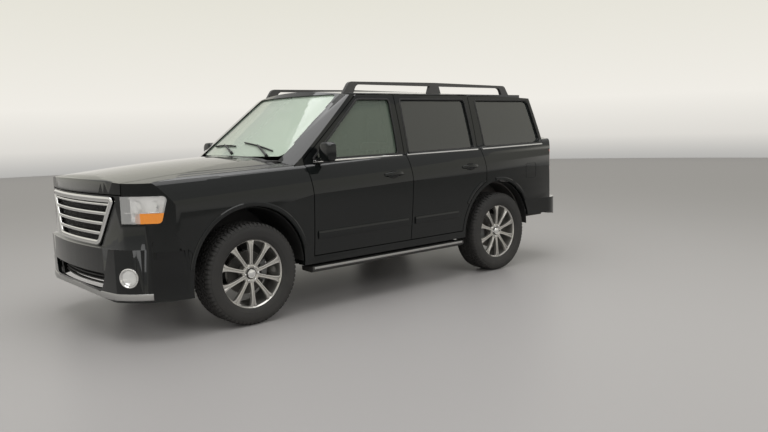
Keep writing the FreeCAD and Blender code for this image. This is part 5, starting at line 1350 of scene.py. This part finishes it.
def dashboard_trim():
    """Instrument hood with its dials, console screen and knobs, air vents and gear lever"""
    dash = skin_tree("dashboard")

    def face_y(x, z):
        place = dash.ray_cast(Vector((x, FAR, z)), FORWARD)[0]
        return place.y

    hood = bmesh.new()
    rings = []
    turns = [math.pi * step / 12 for step in range(13)]
    for y, share in ((-0.86, 0.90), (-0.80, 1.0), (-0.735, 1.0)):
        outer = [Vector((0.40 + 0.190 * share * math.cos(turn), y, 1.150 + 0.090 * share * math.sin(turn)))
                 for turn in turns]
        inner = [Vector((0.40 + 0.172 * share * math.cos(turn), y, 1.155 + 0.074 * share * math.sin(turn)))
                 for turn in reversed(turns)]
        foot = [Vector((0.40 - 0.175 * share, y, 1.150)), Vector((0.40 - 0.165 * share, y, 1.165))]
        rings.append(outer + foot + inner)
    loft(hood, rings)
    made("instrument_hood", hood, "car_body", CABIN_TRIM, (), 40)
    dials = bmesh.new()
    for x, radius in ((0.335, 0.046), (0.465, 0.046), (0.400, 0.022)):
        z = 1.185 if radius > 0.03 else 1.178
        lathe(dials, [(-0.010, 0.0), (-0.010, radius), (0.004, radius), (0.004, radius - 0.004),
                      (0.0, radius - 0.005), (0.0, 0.0)], (x, -0.800, z), BACKWARD, 32)
    made("instrument_dials", dials, "car_body", DIAL_FACE, (), 30)
    y = max(face_y(-0.10, 1.05), face_y(0.10, 1.05), face_y(0.0, 1.12), face_y(0.0, 0.98))
    block_piece("console_bezel", (-0.125, y - 0.006, 0.955), (0.125, y + 0.008, 1.135), 0.004, "car_body",
                GLOSS_PLASTIC)
    block_piece("console_screen", (-0.100, y + 0.006, 1.000), (0.100, y + 0.0105, 1.122), 0.002, "car_body",
                SCREEN_GLASS)
    knobs = bmesh.new()
    for x in (-0.085, 0.0, 0.085):
        lathe(knobs, [(0.0, 0.0), (0.0, 0.014), (0.016, 0.0125), (0.018, 0.010), (0.018, 0.0)],
              (x, y + 0.006, 0.976), BACKWARD, 24)
    made("console_knobs", knobs, "car_body", SATIN_METAL, (), 30)
    for index, x in enumerate((0.720, 0.170, -0.170, -0.720)):
        y = max(face_y(x - 0.05, 1.080), face_y(x + 0.05, 1.080), face_y(x, 1.110), face_y(x, 1.050))
        slat = block_mesh("slat", (x - 0.055, y - 0.002, 1.050), (x + 0.055, y + 0.008, 1.0535), 0.0015)
        slats = copied(slat, ROW, Count=VENT_SLATS, Step=(0.0, 0.0, VENT_PITCH), Finish=GLOSS_PLASTIC)
        edge = bmesh.new()
        outline = [Vector((x + a, y + 0.004, 1.080 + o)) for a, o in rounded(0.128, 0.078, 0.012)]
        sweep(edge, outline, [BACKWARD] * len(outline), rounded(0.008, 0.012, 0.003), closed=True)
        piece("air_vent_%d" % index, joined("vent", slats, solid_mesh("edge", edge)), "car_body", GLOSS_PLASTIC,
              (), 40)
    lever = bmesh.new()
    lathe(lever, [(0.0, 0.0), (0.0, 0.034), (0.010, 0.030), (0.022, 0.012), (0.085, 0.009), (0.095, 0.020),
                  (0.125, 0.024), (0.150, 0.018), (0.156, 0.0)], (0.0, -0.45, 0.760), (0, 0.15, 1), 28)
    top = dash.ray_cast(Vector((0.0, -0.45, FAR)), Vector((0, 0, -1)))[0]
    for vertex in lever.verts:
        vertex.co.z += top.z - 0.762
    made("gear_lever", lever, "car_body", GLOSS_PLASTIC, (), 40)


def door_trims():
    """Inner panel, armrest and speaker ring on each door"""
    for side, sign in (("left", 1), ("right", -1)):
        for end, low_y, high_y in (("front", -0.800, 0.080), ("rear", 0.270, 0.830)):
            body = "%s_door_%s" % (end, side)
            tree = skin_tree(body)
            middle_y = (low_y + high_y) / 2

            def inner_x(y, z):
                place = tree.ray_cast(Vector((0, y, z)), Vector((sign, 0, 0)))[0]
                return abs(place.x) if place else 0.95

            panel = bmesh.new()
            rings = []
            for step in range(9):
                z = 0.600 + (1.180 - 0.600) * step / 8
                x = min(inner_x(middle_y, z), inner_x(low_y + 0.05, z), inner_x(high_y - 0.05, z)) - 0.001
                rings.append([Vector((sign * (x - depth), y, z)) for depth, y in
                              ((0.0, low_y), (0.010, low_y + 0.008), (0.016, low_y + 0.06),
                               (0.016, high_y - 0.06), (0.010, high_y - 0.008), (0.0, high_y))])
            loft(panel, rings)
            made(body + "_trim", panel, body, PALE_TRIM, (), 40)
            rest = bmesh.new()
            x = inner_x(middle_y, 0.900) - 0.016
            rings = []
            for y, share in ((middle_y - 0.230, 0.5), (middle_y - 0.200, 0.9), (middle_y + 0.140, 1.0),
                             (middle_y + 0.210, 0.9), (middle_y + 0.235, 0.5)):
                rings.append([Vector((sign * (x - 0.022 + a * share), y, 0.900 + o * share))
                              for a, o in rounded(0.056, 0.060, 0.020)])
            loft(rest, rings)
            made(body + "_armrest", rest, body, CABIN_TRIM, (), 50)
            turned_piece(body + "_speaker", [(-0.004, 0.066), (0.004, 0.070), (0.007, 0.064), (0.004, 0.058),
                                             (0.002, 0.0)],
                         (sign * (inner_x(middle_y, 0.700) - 0.016), low_y + 0.170, 0.700), (-sign, 0, 0), 36,
                         body, CABIN_TRIM, 40)


def ceiling():
    """Cloth headliner under the roof, and the inner mirror on the windshield"""
    tree = skin_tree("roof")
    shape = bmesh.new()
    rings = []
    for step in range(13):
        y = -0.300 + (2.040 + 0.300) * step / 12
        ring = []
        for x in (-0.610, -0.560, -0.400, -0.200, 0.0, 0.200, 0.400, 0.560, 0.610):
            place = tree.ray_cast(Vector((x, y, 1.0)), UP)[0]
            ring.append(Vector((x, y, (place.z if place else 1.78) - 0.006)))
        rings.append(ring + [point - Vector((0, 0, 0.010)) for point in reversed(ring)])
    loft(shape, rings)
    made("headliner", shape, "car_body", HEADLINER, (), 40)
    glass = skin_tree("windshield")
    meet = glass.ray_cast(Vector((0, 1.0, 1.700)), FORWARD)[0]
    mirror = bmesh.new()
    lathe(mirror, [(0.0, 0.0), (0.0, 0.016), (0.020, 0.008), (0.060, 0.007), (0.070, 0.010), (0.075, 0.0)],
          meet + Vector((0, 0.003, 0)), (0, 0.9, -0.45), 20)
    rings = []
    for y, width, height in ((0.055, 0.20, 0.040), (0.060, 0.235, 0.062), (0.078, 0.240, 0.068),
                             (0.084, 0.236, 0.064)):
        rings.append([Vector((a * width, meet.y + y + 0.010, meet.z - 0.040 + o * height))
                      for a, o in rounded(1.0, 1.0, 0.30, 4)])
    loft(mirror, rings)
    made("inner_mirror", mirror, "car_body", GLOSS_PLASTIC, (), 40)


# Studio: floor with a curved backdrop, and lamps
def backdrop_material():
    """Wall that only shows to the camera, in gloss and through glass: grey low down, cream above"""
    material = bpy.data.materials.new("backdrop_paint")
    material.use_nodes = True
    tree = material.node_tree
    tree.nodes.remove(tree.nodes["Principled BSDF"])
    place = tree.nodes.new("ShaderNodeTexCoord")
    parts = tree.nodes.new("ShaderNodeSeparateXYZ")
    reach = tree.nodes.new("ShaderNodeMapRange")
    reach.inputs["From Max"].default_value = 9.0
    ramp = tree.nodes.new("ShaderNodeValToRGB")
    ramp.color_ramp.elements[0].color = (0.46, 0.455, 0.44, 1.0)
    ramp.color_ramp.elements[1].color = (0.76, 0.745, 0.66, 1.0)
    for position, colour in ((0.10, (0.72, 0.70, 0.66, 1.0)), (0.30, (0.87, 0.845, 0.79, 1.0))):
        ramp.color_ramp.elements.new(position).color = colour
    glow = tree.nodes.new("ShaderNodeEmission")
    clear = tree.nodes.new("ShaderNodeBsdfTransparent")
    rays = tree.nodes.new("ShaderNodeLightPath")
    either = tree.nodes.new("ShaderNodeMath")
    either.operation = "MAXIMUM"
    any_of = tree.nodes.new("ShaderNodeMath")
    any_of.operation = "MAXIMUM"
    mix = tree.nodes.new("ShaderNodeMixShader")
    link(tree, place, "Object", parts, "Vector")
    link(tree, parts, "Z", reach, "Value")
    link(tree, reach, "Result", ramp, "Fac")
    link(tree, ramp, "Color", glow, "Color")
    link(tree, rays, "Is Camera Ray", either, 0)
    link(tree, rays, "Is Glossy Ray", either, 1)
    link(tree, either, 0, any_of, 0)
    link(tree, rays, "Is Transmission Ray", any_of, 1)
    link(tree, any_of, 0, mix, "Fac")
    link(tree, clear, 0, mix, 1)
    link(tree, glow, 0, mix, 2)
    link(tree, mix, 0, tree.nodes["Material Output"], "Surface")
    return material


def stage_piece(name, profile, material):
    """Part of the studio turned about the upright axis"""
    shape = bmesh.new()
    rings = [[Vector((radius * math.cos(math.tau * step / 96), radius * math.sin(math.tau * step / 96), height))
              for step in range(96)] for radius, height in profile]
    loft(shape, rings, capped=False)
    bmesh.ops.remove_doubles(shape, verts=shape.verts, dist=0.0001)
    mesh = bpy.data.meshes.new(name)
    shape.to_mesh(mesh)
    shape.free()
    mesh.polygons.foreach_set("use_smooth", [True] * len(mesh.polygons))
    mesh.materials.append(material)
    item = bpy.data.objects.new(name, mesh)
    bpy.context.scene.collection.objects.link(item)


def area_lamp(name, place, target, width, height, power, in_gloss):
    """Soft box that faces a target"""
    data = bpy.data.lights.new(name, "AREA")
    data.shape = "RECTANGLE"
    data.size = width
    data.size_y = height
    data.energy = power
    lamp = bpy.data.objects.new(name, data)
    lamp.location = place
    lamp.visible_glossy = in_gloss
    lamp.rotation_euler = (Vector(target) - Vector(place)).to_track_quat("-Z", "Y").to_euler()
    bpy.context.scene.collection.objects.link(lamp)


def studio():
    """Floor, backdrop, world and soft boxes"""
    stage_piece("studio_floor", [(0.0, 0.0), (12.0, 0.0), (27.0, 0.0)],
                finish_material("studio_floor_paint", (0.31, 0.30, 0.295), (0.27, 0.26, 0.26), 0.42,
                                tone_scale=0.4, tone_amount=0.25))
    stage_piece("studio_wall", [(25.0, 0.0), (26.5, 0.20), (27.5, 0.7), (28.2, 1.6), (28.6, 3.0), (28.8, 14.0)],
                backdrop_material())
    world = bpy.data.worlds.new("studio")
    world.use_nodes = True
    world.node_tree.nodes["Background"].inputs["Color"].default_value = (0.80, 0.79, 0.76, 1.0)
    world.node_tree.nodes["Background"].inputs["Strength"].default_value = 0.70
    bpy.context.scene.world = world
    area_lamp("overhead_box", (0.5, -0.5, 6.5), (0, 0, 0), 7.0, 9.0, 420.0, True)
    area_lamp("left_box", (8.0, 1.0, 4.0), (0, 0.3, 0.6), 5.0, 4.0, 200.0, False)
    area_lamp("front_box", (1.0, -9.0, 3.5), (0, -1.5, 0.6), 5.0, 3.5, 200.0, False)


def camera():
    """Camera at the photograph's place and angle"""
    ahead = Vector((math.cos(CAMERA_HEADING) * math.cos(CAMERA_TILT),
                    math.sin(CAMERA_HEADING) * math.cos(CAMERA_TILT), -math.sin(CAMERA_TILT)))
    level_right = ahead.cross(UP).normalized()
    level_up = level_right.cross(ahead)
    right = level_right * math.cos(CAMERA_ROLL) + level_up * math.sin(CAMERA_ROLL)
    up = level_up * math.cos(CAMERA_ROLL) - level_right * math.sin(CAMERA_ROLL)
    data = bpy.data.cameras.new("camera")
    data.sensor_width = SENSOR_WIDTH
    data.lens = SENSOR_WIDTH * FOCAL_PIXELS / FRAME_WIDTH
    data.clip_end = 200.0
    item = bpy.data.objects.new("camera", data)
    turn = Matrix((right, up, -ahead)).transposed().to_4x4()
    item.matrix_world = Matrix.Translation(CAMERA_PLACE) @ turn
    bpy.context.scene.collection.objects.link(item)
    bpy.context.scene.camera = item
    bpy.context.scene.view_settings.view_transform = "Standard"


for make in (body_skins, wheels, flank_trim, grille, headlamps, fog_lamps, intake, wipers, mirrors, tail_trim,
             step_treads):
    make()
shared_headrest = headrest_pad()
for row in SEAT_ROWS:
    seats(*row, shared_headrest)
for make in (steering_wheel, dashboard_trim, door_trims, ceiling):
    make()
studio()
camera()
